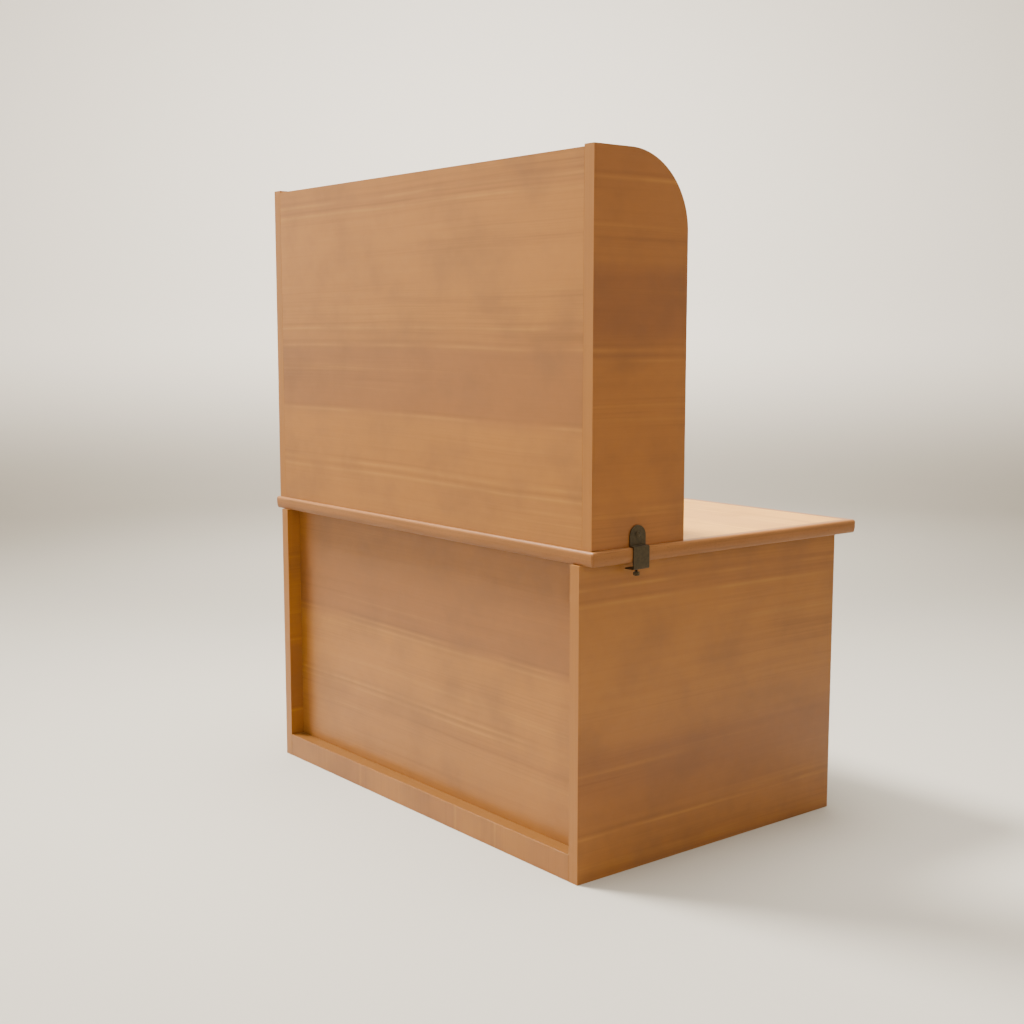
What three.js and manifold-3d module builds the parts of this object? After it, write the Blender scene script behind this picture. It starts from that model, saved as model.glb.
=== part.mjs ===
// Study carrel: a veneered desk base with a clamp-on screen that carries one shelf.
// Millimetres, +Z up. The origin is on the floor, under the middle of the overall box.
// -Y is the reader's side, +Y the back, and -X the reader's left.

import * as THREE from 'three';
import { mergeVertices } from 'three/addons/utils/BufferGeometryUtils.js';
import Module from 'manifold-3d';

const wasm = await Module();
wasm.setup();

// ---------- driving dimensions ----------

const GAP = 0.3; // clearance between neighbouring pieces
const MITRE_SHORTENING = 0.2; // taken off each end of a mitred lipping
const CUT_OVERRUN = 1; // how far a cutter starts outside the face it enters

// desk base
const DESK_HEIGHT = 730;
const TOP_THICKNESS = 32;
const BASE_WIDTH = 1251;
const BASE_DEPTH = 834;
const END_THICKNESS = 29;
const SIDE_OVERHANG = 38.5;
const FRONT_OVERHANG = 32.5;
const REAR_SETBACK = 3.5; // the desktop's back edge, in from the end panels' back edges
const RECESS_DEPTH = 37.5; // the modesty panel, in from the end panels' back edges
const MODESTY_THICKNESS = 18;
const MODESTY_FLOOR_GAP = 2;
const PLINTH_HEIGHT = 60.5;

// moulded lipping round the desktop
const LIPPING_WIDTH = 22;
const LIPPING_TOP_RADIUS = 7;
const LIPPING_FLAT_END = 17; // height of the flat's lower end above the underside
const LIPPING_BELLY_RADIUS = 45; // the slow inward curve below the flat
const LIPPING_BELLY_END = 3; // height where the belly turns into the bottom rounding
const LIPPING_BOTTOM_INSET = 6;

// battens that hold the desktop down
const CLEAT_SIZE = 28;
const SIDE_CLEAT_LENGTH = 640;
const REAR_CLEAT_LENGTH = 900;

// screen
const SCREEN_WIDTH = 1303.5;
const SCREEN_HEIGHT = 833.5;
const SCREEN_SETBACK = 11; // the screen's back, in from the end panels' back edges
const WING_THICKNESS = 30;
const WING_DEPTH = 270.5;
const WING_CORNER_RADIUS = 166.5;
const BACK_THICKNESS = 18;
const BACK_DROP = 5; // the back panel's top edge, below the wings' tops

// shelf
const SHELF_UNDERSIDE = 390; // above the desktop
const SHELF_THICKNESS = 25;
const SHELF_DEPTH = 235;
const SHELF_LIPPING_WIDTH = 8;
const SHELF_LIPPING_RADIUS = 3;
const SHELF_END_GAP = 0.5;
const PEG_HOLE_PITCH = 32;
const PEG_HOLES_PER_ROW = 5;
const PEG_ROW_INSET = 37; // from the shelf's front and back edges
const PEG_RADIUS = 2.5;
const PEG_HOLE_DEPTH = 12;
const PEG_REST_RADIUS = 3.5; // the thicker end that the shelf lies on
const PEG_REST_LENGTH = 10;

// fasteners
const MODESTY_CAM_HEIGHTS = [['lower', 170], ['upper', 540]];
const BACK_CAM_HEIGHTS = [['lower', 170], ['upper', 660]]; // above the desktop
const PLINTH_DOWEL_HEIGHTS = [['plinth', PLINTH_HEIGHT / 2]];
const DOWEL_RADIUS = 5;
const DOWEL_LENGTH = 36;
const CAM_RADIUS = 7.2;
const CAM_HEIGHT = 12.5;
const CAM_FROM_END = 34; // cam centre, from the end of the panel
const CAM_SINK = 0.2;
const CAM_BOLT_RADIUS = 2.5;
const CAM_BOLT_HEAD_RADIUS = 3.5;
const CAM_BOLT_HEAD_LENGTH = 2.5;
const CAM_BOLT_SHOULDER = 0.1; // how far each change of radius is drawn out along the bolt
const CAM_THREAD_RADIUS = 3;
const CAM_THREAD_LENGTH = 11;
const CAM_CROSS_LENGTH = 9;
const CAM_CROSS_WIDTH = 1.6;
const CAM_CROSS_DEPTH = 2;

// clamp bracket and its screws
const CLAMP_WIDTH = 46;
const CLAMP_PLATE = 3;
const CLAMP_BEND_RADIUS = 1.5; // inside radius of each bend
const CLAMP_TAB_TOP = 46.5; // above the desktop
const CLAMP_FROM_WING_BACK = 129.5; // clamp centre, from the wing's back edge
const CLAMP_THROAT = 12.5; // flange top, below the desktop's underside
const CLAMP_FLANGE_LENGTH = 24.3; // from the lower plate's inner face to the tip
const CLAMP_SCREW_INSET = 12.8; // screw axis, from the lower plate's inner face
const CLAMP_TAB_SCREW_HEIGHT = 27; // above the desktop
const CLAMP_SCREW_RADIUS = 3;
const CLAMP_NECK_LENGTH = 7.2; // from the flange down to the knurled head
const KNOB_RADIUS = 7;
const KNOB_HEIGHT = 8;
const KNOB_CHAMFER = 0.8;
const KNURLS = 20;
const KNURL_DEPTH = 0.5;
const PAD_RADIUS = 8;
const PAD_HEIGHT = 3.2;
const SPIGOT_RADIUS = 2;
const SPIGOT_HEIGHT = 1.6;
const ROUND_HEAD_RADIUS = 6.5;
const ROUND_HEAD_HEIGHT = 3.6;
const ROUND_SCREW_RADIUS = 2.5;
const ROUND_SCREW_LENGTH = 20;
const ROUND_SCREW_TIP = 4;
const SLOT_WIDTH = 1.4;
const SLOT_DEPTH = 1.2;

// levelling feet, wound fully into the end panels' bottom edges
const FOOT_FROM_EDGE = 60; // foot axis, from the end panel's front and back edges
const FOOT_PAD_RADIUS = 10.5;
const FOOT_PAD_HEIGHT = 4;
const FOOT_PAD_DOME = 1;
const FOOT_FLOOR_GAP = 0.5;
const FOOT_POCKET_RADIUS = 11.5;
const FOOT_POCKET_DEPTH = 9;
const FOOT_COLLAR_RADIUS = 7.5; // over the corners of the hexagon
const FOOT_COLLAR_HEIGHT = 3.5;
const FOOT_STEM_RADIUS = 4;
const FOOT_STEM_TOP = 45;
const STEM_END_CLEARANCE = 2; // above the stem, at the end of its hole
const INSERT_RADIUS = 6;
const INSERT_LENGTH = 16;

// facets
const ROUND_STEPS = 16;
const SMALL_STEPS = 12;
const ARC_STEPS = 10;
const WING_ARC_STEPS = 24;
const BEND_STEPS = 4;
const DOME_STEPS = 6;
const HEXAGON_STEPS = 6;
const WELD_DISTANCE = 1e-4;

// ---------- derived places ----------

const REAR_Y = (BASE_DEPTH + FRONT_OVERHANG) / 2;
const FRONT_Y = -REAR_Y;
const PANEL_FRONT_Y = REAR_Y - BASE_DEPTH;
const DESK_UNDERSIDE = DESK_HEIGHT - TOP_THICKNESS;
const PANEL_TOP = DESK_UNDERSIDE - GAP;
const BASE_INNER_X = BASE_WIDTH / 2 - END_THICKNESS;
const END_MIDDLE_X = BASE_WIDTH / 2 - END_THICKNESS / 2;
const DESK_HALF_WIDTH = BASE_WIDTH / 2 + SIDE_OVERHANG;
const DESK_REAR_Y = REAR_Y - REAR_SETBACK;
const MODESTY_REAR_Y = REAR_Y - RECESS_DEPTH;
const MODESTY_FRONT_Y = MODESTY_REAR_Y - MODESTY_THICKNESS;
const SCREEN_BACK_Y = REAR_Y - SCREEN_SETBACK;
const WING_INNER_X = SCREEN_WIDTH / 2 - WING_THICKNESS;
const SIDES = [['left', -1], ['right', 1]];

const X_AXIS = new THREE.Vector3(1, 0, 0);
const Y_AXIS = new THREE.Vector3(0, 1, 0);
const Z_AXIS = new THREE.Vector3(0, 0, 1);

// ---------- materials ----------

function wood(color) {
  return new THREE.MeshStandardMaterial({ color, roughness: 0.42, metalness: 0 });
}

function metal(color, roughness) {
  return new THREE.MeshStandardMaterial({ color, roughness, metalness: 0.9 });
}

const VENEER = wood('#b0743c');
const SOLID_WOOD = wood('#a96f3a');
const BATTEN = wood('#c79f6d');
const BEECH = wood('#d9b98a');
const BRONZE = metal('#574a2d', 0.45);
const ZINC = metal('#a9abad', 0.35);
const NYLON = new THREE.MeshStandardMaterial({ color: '#26262a', roughness: 0.6, metalness: 0 });

// ---------- geometry helpers ----------

function at(x, y, z) {
  return new THREE.Vector3(x, y, z);
}

/** A box from its lowest to its highest corner. */
function board(low, high) {
  const size = high.clone().sub(low);
  const middle = high.clone().add(low).multiplyScalar(0.5);
  return new THREE.BoxGeometry(size.x, size.y, size.z).translate(middle.x, middle.y, middle.z);
}

/** A profile of [radius, height] pairs turned about a line from origin along direction. */
function turned(profile, origin, direction, steps = SMALL_STEPS) {
  const points = profile.map(([radius, height]) => new THREE.Vector2(radius, height));
  const tilt = new THREE.Quaternion().setFromUnitVectors(Y_AXIS, direction);
  const geometry = new THREE.LatheGeometry(points, steps).applyQuaternion(tilt);
  return geometry.translate(origin.x, origin.y, origin.z);
}

function rod(radius, length, origin, direction, steps = SMALL_STEPS) {
  return turned([[0, 0], [radius, 0], [radius, length], [0, length]], origin, direction, steps);
}

/** An outline drawn in Y and Z, extruded along +X from x = 0. */
function extrudeAlongX(outline, length, curveSegments = ARC_STEPS) {
  const settings = { depth: length, bevelEnabled: false, curveSegments };
  const turn = new THREE.Matrix4().makeBasis(Y_AXIS, Z_AXIS, X_AXIS);
  return new THREE.ExtrudeGeometry(outline, settings).applyMatrix4(turn);
}

/** An outline drawn in X and Z, extruded equally to both sides of y = 0. */
function extrudeAcrossY(outline, width, curveSegments = ARC_STEPS) {
  const settings = { depth: width, bevelEnabled: false, curveSegments };
  const turn = new THREE.Matrix4().makeBasis(X_AXIS, Z_AXIS, Y_AXIS.clone().negate());
  return new THREE.ExtrudeGeometry(outline, settings).translate(0, 0, -width / 2).applyMatrix4(turn);
}

function toSolid(geometry) {
  const bare = geometry.clone();
  bare.deleteAttribute('normal');
  bare.deleteAttribute('uv');
  const welded = mergeVertices(bare, WELD_DISTANCE);
  const triVerts = [];
  for (let i = 0; i < welded.index.count; i += 3) {
    const [a, b, c] = [0, 1, 2].map((k) => welded.index.getX(i + k));
    if (a !== b && b !== c && c !== a) triVerts.push(a, b, c);
  }
  return new wasm.Manifold(new wasm.Mesh({
    numProp: 3,
    vertProperties: new Float32Array(welded.attributes.position.array),
    triVerts: new Uint32Array(triVerts),
  }));
}

function fromSolid(solid) {
  const mesh = solid.getMesh();
  const geometry = new THREE.BufferGeometry();
  geometry.setAttribute('position', new THREE.BufferAttribute(mesh.vertProperties, 3));
  geometry.setIndex(new THREE.BufferAttribute(mesh.triVerts, 1));
  return geometry;
}

/** The first geometry with every cutter taken out of it. */
function carve(geometry, cutters) {
  return fromSolid(cutters.reduce((solid, cutter) => solid.subtract(toSolid(cutter)), toSolid(geometry)));
}

/** count places spread evenly from first to last. */
function spread(count, first, last) {
  return Array.from({ length: count }, (_, i) => first + ((last - first) * i) / (count - 1));
}

function add(parent, name, geometry, material) {
  const mesh = new THREE.Mesh(geometry, material);
  mesh.name = name;
  parent.add(mesh);
  return mesh;
}

// ---------- fasteners ----------
// Each takes a clearance: 0 gives the piece, and a positive value gives the cutter for its hole.

function dowel({ x, y, z }, clearance = 0) {
  const length = DOWEL_LENGTH + 2 * clearance;
  return rod(DOWEL_RADIUS + clearance, length, at(x - length / 2, y, z), X_AXIS);
}

/** A cam bolt from the depth of its thread to the cam's centre. The joint is the plane x. */
function camBolt({ side, x, y, z }, clearance = 0) {
  const end = CAM_THREAD_LENGTH + CAM_FROM_END + CAM_BOLT_HEAD_LENGTH / 2;
  const thread = CAM_THREAD_RADIUS + clearance;
  const head = CAM_BOLT_HEAD_RADIUS + clearance;
  const neck = clearance > 0 ? head : CAM_BOLT_RADIUS;
  const profile = [
    [0, -clearance],
    [thread, -clearance],
    [thread, CAM_THREAD_LENGTH - clearance],
    [neck, CAM_THREAD_LENGTH - clearance + CAM_BOLT_SHOULDER],
    [neck, end - CAM_BOLT_HEAD_LENGTH],
    [head, end - CAM_BOLT_HEAD_LENGTH + CAM_BOLT_SHOULDER],
    [head, end + clearance],
    [0, end + clearance],
  ];
  const inward = at(-side, 0, 0);
  return turned(profile, at(x + side * CAM_THREAD_LENGTH, y, z), inward);
}

/** The pocket that a cam sits in, sunk along +Y from the face at faceY. */
function camPocket({ side, x, z }, faceY) {
  const start = at(x - side * CAM_FROM_END, faceY - CUT_OVERRUN, z);
  return rod(CAM_RADIUS + GAP, CAM_HEIGHT + CAM_SINK + GAP + CUT_OVERRUN, start, Y_AXIS, ROUND_STEPS);
}

/** A cam with its cross recess and the slot that takes the bolt's head. */
function cam(site, faceY) {
  const centre = at(site.x - site.side * CAM_FROM_END, faceY + CAM_SINK, site.z);
  const body = rod(CAM_RADIUS, CAM_HEIGHT, centre, Y_AXIS, ROUND_STEPS);
  const half = at(CAM_CROSS_LENGTH / 2, CAM_CROSS_DEPTH, CAM_CROSS_WIDTH / 2);
  const tall = at(half.z, half.y, half.x);
  const cross = [half, tall].map((reach) => board(centre.clone().sub(reach), centre.clone().add(reach)));
  return carve(body, [...cross, camBolt(site, 2 * GAP)]);
}

// ---------- where the fasteners are ----------

const MODESTY_MIDDLE_Y = MODESTY_REAR_Y - MODESTY_THICKNESS / 2;
const PLINTH_MIDDLE_Y = REAR_Y - RECESS_DEPTH / 2;

/** The same heights at both ends of a panel whose ends lie at x and -x. */
function sites(heights, x, y) {
  return SIDES.flatMap(([sideName, side]) => heights.map(([level, z]) => (
    { name: `${sideName}_${level}`, side, x: side * x, y, z })));
}

function onSide(list, side) {
  return list.filter((site) => site.side === side);
}

const BASE_CAMS = sites(MODESTY_CAM_HEIGHTS, BASE_INNER_X, MODESTY_MIDDLE_Y);
const PLINTH_DOWELS = sites(PLINTH_DOWEL_HEIGHTS, BASE_INNER_X, PLINTH_MIDDLE_Y);

// ---------- levelling feet ----------

const FOOT_PLACES = SIDES.flatMap(([sideName, side]) => [
  { name: `front_${sideName}`, side, x: side * END_MIDDLE_X, y: PANEL_FRONT_Y + FOOT_FROM_EDGE },
  { name: `rear_${sideName}`, side, x: side * END_MIDDLE_X, y: REAR_Y - FOOT_FROM_EDGE },
]);
const FOOT_COLLAR_BOTTOM = FOOT_FLOOR_GAP + FOOT_PAD_HEIGHT + GAP;
const FOOT_COLLAR_TOP = FOOT_COLLAR_BOTTOM + FOOT_COLLAR_HEIGHT;
const INSERT_BOTTOM = FOOT_POCKET_DEPTH + GAP;

/** The stepped hole in an end panel's bottom edge that holds the insert and hides the foot. */
function footHole({ x, y }) {
  const stemTop = FOOT_STEM_TOP + STEM_END_CLEARANCE;
  const insertTop = INSERT_BOTTOM + INSERT_LENGTH + GAP;
  const profile = [
    [0, -CUT_OVERRUN],
    [FOOT_POCKET_RADIUS, -CUT_OVERRUN],
    [FOOT_POCKET_RADIUS, FOOT_POCKET_DEPTH],
    [INSERT_RADIUS + GAP, FOOT_POCKET_DEPTH],
    [INSERT_RADIUS + GAP, insertTop],
    [FOOT_STEM_RADIUS + GAP, insertTop],
    [FOOT_STEM_RADIUS + GAP, stemTop],
    [0, stemTop],
  ];
  return turned(profile, at(x, y, 0), Z_AXIS, ROUND_STEPS);
}

function footInsert({ x, y }) {
  const bore = FOOT_STEM_RADIUS + GAP;
  const top = INSERT_BOTTOM + INSERT_LENGTH;
  const section = [
    [bore, INSERT_BOTTOM], [INSERT_RADIUS, INSERT_BOTTOM], [INSERT_RADIUS, top], [bore, top],
    [bore, INSERT_BOTTOM],
  ];
  return turned(section, at(x, y, 0), Z_AXIS, ROUND_STEPS);
}

/** The hexagonal collar that a spanner turns, with the threaded stem above it. */
function footStem({ x, y }) {
  const seat = at(x, y, FOOT_COLLAR_BOTTOM);
  const collar = rod(FOOT_COLLAR_RADIUS, FOOT_COLLAR_HEIGHT, seat, Z_AXIS, HEXAGON_STEPS);
  const start = FOOT_COLLAR_TOP - CUT_OVERRUN;
  const stem = rod(FOOT_STEM_RADIUS, FOOT_STEM_TOP - start, at(x, y, start), Z_AXIS, ROUND_STEPS);
  return fromSolid(toSolid(collar).add(toSolid(stem)));
}

function footPad({ x, y }) {
  const shoulder = FOOT_PAD_RADIUS - FOOT_PAD_DOME;
  const profile = [
    [0, 0],
    [shoulder, 0],
    [FOOT_PAD_RADIUS, FOOT_PAD_DOME],
    [FOOT_PAD_RADIUS, FOOT_PAD_HEIGHT],
    [0, FOOT_PAD_HEIGHT],
  ];
  return turned(profile, at(x, y, FOOT_FLOOR_GAP), Z_AXIS, ROUND_STEPS);
}

// ---------- desk base ----------

function endPanel(side) {
  const inner = side * BASE_INNER_X;
  const outer = side * BASE_WIDTH / 2;
  const panel = board(
    at(Math.min(inner, outer), PANEL_FRONT_Y, 0),
    at(Math.max(inner, outer), REAR_Y, PANEL_TOP),
  );
  return carve(panel, [
    ...onSide(PLINTH_DOWELS, side).map((site) => dowel(site, GAP)),
    ...onSide(BASE_CAMS, side).map((site) => camBolt(site, GAP)),
    ...onSide(FOOT_PLACES, side).map(footHole),
  ]);
}

function modestyPanel() {
  const half = BASE_INNER_X - GAP;
  const panel = board(
    at(-half, MODESTY_FRONT_Y, MODESTY_FLOOR_GAP),
    at(half, MODESTY_REAR_Y, PANEL_TOP),
  );
  const holes = BASE_CAMS.flatMap((site) => [camBolt(site, GAP), camPocket(site, MODESTY_FRONT_Y)]);
  return carve(panel, holes);
}

function plinthRail() {
  const half = BASE_INNER_X - GAP;
  const rail = board(at(-half, MODESTY_REAR_Y + GAP, 0), at(half, REAR_Y, PLINTH_HEIGHT));
  return carve(rail, PLINTH_DOWELS.map((site) => dowel(site, GAP)));
}

function sideCleat(side) {
  const outer = BASE_INNER_X - GAP;
  const middle = side * (outer - CLEAT_SIZE / 2);
  const reach = at(CLEAT_SIZE / 2, SIDE_CLEAT_LENGTH / 2, CLEAT_SIZE / 2);
  const centre = at(middle, 0, PANEL_TOP - CLEAT_SIZE / 2);
  return board(centre.clone().sub(reach), centre.clone().add(reach));
}

function rearCleat() {
  const rear = MODESTY_FRONT_Y - GAP;
  return board(
    at(-REAR_CLEAT_LENGTH / 2, rear - CLEAT_SIZE, PANEL_TOP - CLEAT_SIZE),
    at(REAR_CLEAT_LENGTH / 2, rear, PANEL_TOP),
  );
}

// ---------- desktop ----------

function desktopPanel() {
  const inset = LIPPING_WIDTH + GAP;
  return board(
    at(inset - DESK_HALF_WIDTH, FRONT_Y + inset, DESK_UNDERSIDE),
    at(DESK_HALF_WIDTH - inset, DESK_REAR_Y - inset, DESK_HEIGHT),
  );
}

/** The lipping's section: x is the inset from the desktop's edge, y the height. */
function lippingSection() {
  const drop = LIPPING_FLAT_END - LIPPING_BELLY_END;
  const bellyAngle = Math.asin(drop / LIPPING_BELLY_RADIUS);
  const bellyInset = LIPPING_BELLY_RADIUS * (1 - Math.cos(bellyAngle));
  const cornerInset = bellyInset + LIPPING_BELLY_END * Math.tan(bellyAngle);
  const shape = new THREE.Shape();
  shape.moveTo(LIPPING_WIDTH, 0);
  shape.lineTo(LIPPING_WIDTH, TOP_THICKNESS);
  shape.lineTo(LIPPING_TOP_RADIUS, TOP_THICKNESS);
  shape.absarc(
    LIPPING_TOP_RADIUS, TOP_THICKNESS - LIPPING_TOP_RADIUS, LIPPING_TOP_RADIUS,
    Math.PI / 2, Math.PI, false,
  );
  shape.lineTo(0, LIPPING_FLAT_END);
  shape.absarc(
    LIPPING_BELLY_RADIUS, LIPPING_FLAT_END, LIPPING_BELLY_RADIUS,
    Math.PI, Math.PI + bellyAngle, false,
  );
  shape.quadraticCurveTo(cornerInset, 0, LIPPING_BOTTOM_INSET, 0);
  shape.closePath();
  return shape;
}

/** A lipping along X whose ends are mitred. Its outer edge lies on y = 0, facing -Y. */
function mitredLipping(length) {
  const geometry = extrudeAlongX(lippingSection(), length);
  const place = geometry.attributes.position;
  for (let i = 0; i < place.count; i += 1) {
    const reach = length / 2 - place.getY(i) - MITRE_SHORTENING;
    place.setX(i, place.getX(i) > length / 2 ? reach : -reach);
  }
  return geometry;
}

function addDesktop(parent) {
  add(parent, 'desktop_panel', desktopPanel(), VENEER);
  const width = 2 * DESK_HALF_WIDTH;
  const depth = DESK_REAR_Y - FRONT_Y;
  const middleY = (DESK_REAR_Y + FRONT_Y) / 2;
  const edges = [
    ['front', width, 0, FRONT_Y, 0],
    ['right', depth, DESK_HALF_WIDTH, middleY, Math.PI / 2],
    ['rear', width, 0, DESK_REAR_Y, Math.PI],
    ['left', depth, -DESK_HALF_WIDTH, middleY, -Math.PI / 2],
  ];
  for (const [name, length, x, y, turn] of edges) {
    const lipping = add(parent, `desktop_lipping_${name}`, mitredLipping(length), SOLID_WOOD);
    lipping.position.set(x, y, DESK_UNDERSIDE);
    lipping.rotation.z = turn;
  }
}

function addBase(parent) {
  for (const [name, side] of SIDES) {
    add(parent, `end_panel_${name}`, endPanel(side), VENEER);
    add(parent, `top_cleat_${name}`, sideCleat(side), BATTEN);
  }
  add(parent, 'modesty_panel', modestyPanel(), VENEER);
  add(parent, 'plinth_rail', plinthRail(), VENEER);
  add(parent, 'top_cleat_rear', rearCleat(), BATTEN);
  for (const site of BASE_CAMS) {
    add(parent, `base_cam_${site.name}`, cam(site, MODESTY_FRONT_Y), ZINC);
    add(parent, `base_cam_bolt_${site.name}`, camBolt(site), ZINC);
  }
  for (const site of PLINTH_DOWELS) add(parent, `dowel_${site.name}`, dowel(site), BEECH);
  for (const place of FOOT_PLACES) {
    add(parent, `foot_insert_${place.name}`, footInsert(place), ZINC);
    add(parent, `foot_stem_${place.name}`, footStem(place), ZINC);
    add(parent, `foot_pad_${place.name}`, footPad(place), NYLON);
  }
}

// ---------- screen: y = 0 is its back, z = 0 the desktop ----------

const BACK_FRONT_Y = -BACK_THICKNESS;
const BACK_CAMS = sites(BACK_CAM_HEIGHTS, WING_INNER_X, -BACK_THICKNESS / 2);
const SHELF_REAR_Y = BACK_FRONT_Y - GAP;
const SHELF_FRONT_Y = SHELF_REAR_Y - SHELF_DEPTH;
const PEG_HEIGHT = SHELF_UNDERSIDE - GAP - PEG_REST_RADIUS;
const PEG_ROWS = [['rear', SHELF_REAR_Y - PEG_ROW_INSET], ['front', SHELF_FRONT_Y + PEG_ROW_INSET]];

function pegHoles(side) {
  const reach = ((PEG_HOLES_PER_ROW - 1) / 2) * PEG_HOLE_PITCH;
  const heights = spread(PEG_HOLES_PER_ROW, PEG_HEIGHT - reach, PEG_HEIGHT + reach);
  return PEG_ROWS.flatMap(([, y]) => heights.map((z) => {
    const start = at(side * (WING_INNER_X - CUT_OVERRUN), y, z);
    return rod(PEG_RADIUS + GAP, PEG_HOLE_DEPTH + CUT_OVERRUN, start, at(side, 0, 0));
  }));
}

/** A turned peg: a pin in the wing and a thicker rest under the shelf. */
function shelfPeg(side, y) {
  const pinEnd = PEG_HOLE_DEPTH - GAP;
  const profile = [
    [0, -PEG_REST_LENGTH],
    [PEG_REST_RADIUS, -PEG_REST_LENGTH],
    [PEG_REST_RADIUS, -GAP],
    [PEG_RADIUS, -GAP],
    [PEG_RADIUS, pinEnd],
    [0, pinEnd],
  ];
  return turned(profile, at(side * WING_INNER_X, y, PEG_HEIGHT), at(side, 0, 0));
}

function wingOutline() {
  const top = SCREEN_HEIGHT;
  const shape = new THREE.Shape();
  shape.moveTo(0, GAP);
  shape.lineTo(0, top);
  shape.lineTo(WING_CORNER_RADIUS - WING_DEPTH, top);
  shape.absarc(
    WING_CORNER_RADIUS - WING_DEPTH, top - WING_CORNER_RADIUS, WING_CORNER_RADIUS,
    Math.PI / 2, Math.PI, false,
  );
  shape.lineTo(-WING_DEPTH, GAP);
  shape.closePath();
  return shape;
}

function tabScrewHole(side) {
  const start = at(side * (SCREEN_WIDTH / 2 + CUT_OVERRUN), -CLAMP_FROM_WING_BACK, CLAMP_TAB_SCREW_HEIGHT);
  const depth = ROUND_SCREW_LENGTH - CLAMP_PLATE + CUT_OVERRUN;
  return rod(ROUND_SCREW_RADIUS + GAP, depth, start, at(-side, 0, 0));
}

function wing(side) {
  const panel = extrudeAlongX(wingOutline(), WING_THICKNESS, WING_ARC_STEPS);
  panel.translate(side < 0 ? -SCREEN_WIDTH / 2 : WING_INNER_X, 0, 0);
  return carve(panel, [
    ...onSide(BACK_CAMS, side).map((site) => camBolt(site, GAP)),
    ...pegHoles(side),
    tabScrewHole(side),
  ]);
}

function backPanel() {
  const half = WING_INNER_X - GAP;
  const panel = board(at(-half, BACK_FRONT_Y, GAP), at(half, 0, SCREEN_HEIGHT - BACK_DROP));
  const holes = BACK_CAMS.flatMap((site) => [camBolt(site, GAP), camPocket(site, BACK_FRONT_Y)]);
  return carve(panel, holes);
}

function shelfPanel() {
  const half = WING_INNER_X - SHELF_END_GAP;
  return board(
    at(-half, SHELF_FRONT_Y + SHELF_LIPPING_WIDTH + GAP, SHELF_UNDERSIDE),
    at(half, SHELF_REAR_Y, SHELF_UNDERSIDE + SHELF_THICKNESS),
  );
}

/** A solid strip on the shelf's front edge, rounded along its two front arrises. */
function shelfLipping() {
  const half = WING_INNER_X - SHELF_END_GAP;
  const [front, back] = [SHELF_FRONT_Y, SHELF_FRONT_Y + SHELF_LIPPING_WIDTH];
  const [low, high] = [SHELF_UNDERSIDE, SHELF_UNDERSIDE + SHELF_THICKNESS];
  const r = SHELF_LIPPING_RADIUS;
  const shape = new THREE.Shape();
  shape.moveTo(back, low);
  shape.lineTo(back, high);
  shape.lineTo(front + r, high);
  shape.absarc(front + r, high - r, r, Math.PI / 2, Math.PI, false);
  shape.lineTo(front, low + r);
  shape.absarc(front + r, low + r, r, Math.PI, 1.5 * Math.PI, false);
  shape.closePath();
  return extrudeAlongX(shape, 2 * half).translate(-half, 0, 0);
}

// ---------- clamp: x = 0 is the wing's outer face, +x outward, z = 0 the desktop ----------

const EDGE_REACH = DESK_HALF_WIDTH - SCREEN_WIDTH / 2; // from the wing's face to the desktop's edge
const PLATE_INNER_X = EDGE_REACH + GAP;
const FLANGE_TOP = -TOP_THICKNESS - CLAMP_THROAT;
const FLANGE_BOTTOM = FLANGE_TOP - CLAMP_PLATE;
const CLAMP_SCREW_X = PLATE_INNER_X - CLAMP_SCREW_INSET;
const PAD_TOP = -TOP_THICKNESS - GAP;

/** The strip seen edge on: up the wing, out over the desktop's edge, down it, and back under. */
function clampSection() {
  const [tabIn, tabOut] = [GAP, GAP + CLAMP_PLATE];
  const [stepLow, stepHigh] = [GAP, GAP + CLAMP_PLATE];
  const [plateIn, plateOut] = [PLATE_INNER_X, PLATE_INNER_X + CLAMP_PLATE];
  const tip = PLATE_INNER_X - CLAMP_FLANGE_LENGTH;
  const inside = CLAMP_BEND_RADIUS;
  const outside = CLAMP_BEND_RADIUS + CLAMP_PLATE;
  const quarter = Math.PI / 2;
  const shape = new THREE.Shape();
  shape.moveTo(tabIn, CLAMP_TAB_TOP);
  shape.lineTo(tabIn, stepLow + outside);
  shape.absarc(tabIn + outside, stepLow + outside, outside, 2 * quarter, 3 * quarter, false);
  shape.lineTo(plateIn - inside, stepLow);
  shape.absarc(plateIn - inside, stepLow - inside, inside, quarter, 0, true);
  shape.lineTo(plateIn, FLANGE_TOP + inside);
  shape.absarc(plateIn - inside, FLANGE_TOP + inside, inside, 0, -quarter, true);
  shape.lineTo(tip, FLANGE_TOP);
  shape.lineTo(tip, FLANGE_BOTTOM);
  shape.lineTo(plateOut - outside, FLANGE_BOTTOM);
  shape.absarc(plateOut - outside, FLANGE_BOTTOM + outside, outside, -quarter, 0, false);
  shape.lineTo(plateOut, stepHigh - outside);
  shape.absarc(plateOut - outside, stepHigh - outside, outside, 0, quarter, false);
  shape.lineTo(tabOut + inside, stepHigh);
  shape.absarc(tabOut + inside, stepHigh + inside, inside, 3 * quarter, 2 * quarter, true);
  shape.lineTo(tabOut, CLAMP_TAB_TOP);
  shape.closePath();
  return shape;
}

/** The strip seen face on: straight sides and a round top. */
function clampFace() {
  const radius = CLAMP_WIDTH / 2;
  const bottom = FLANGE_BOTTOM - CUT_OVERRUN;
  const shape = new THREE.Shape();
  shape.moveTo(-radius, bottom);
  shape.lineTo(radius, bottom);
  shape.lineTo(radius, CLAMP_TAB_TOP - radius);
  shape.absarc(0, CLAMP_TAB_TOP - radius, radius, 0, Math.PI, false);
  shape.closePath();
  return shape;
}

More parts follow.
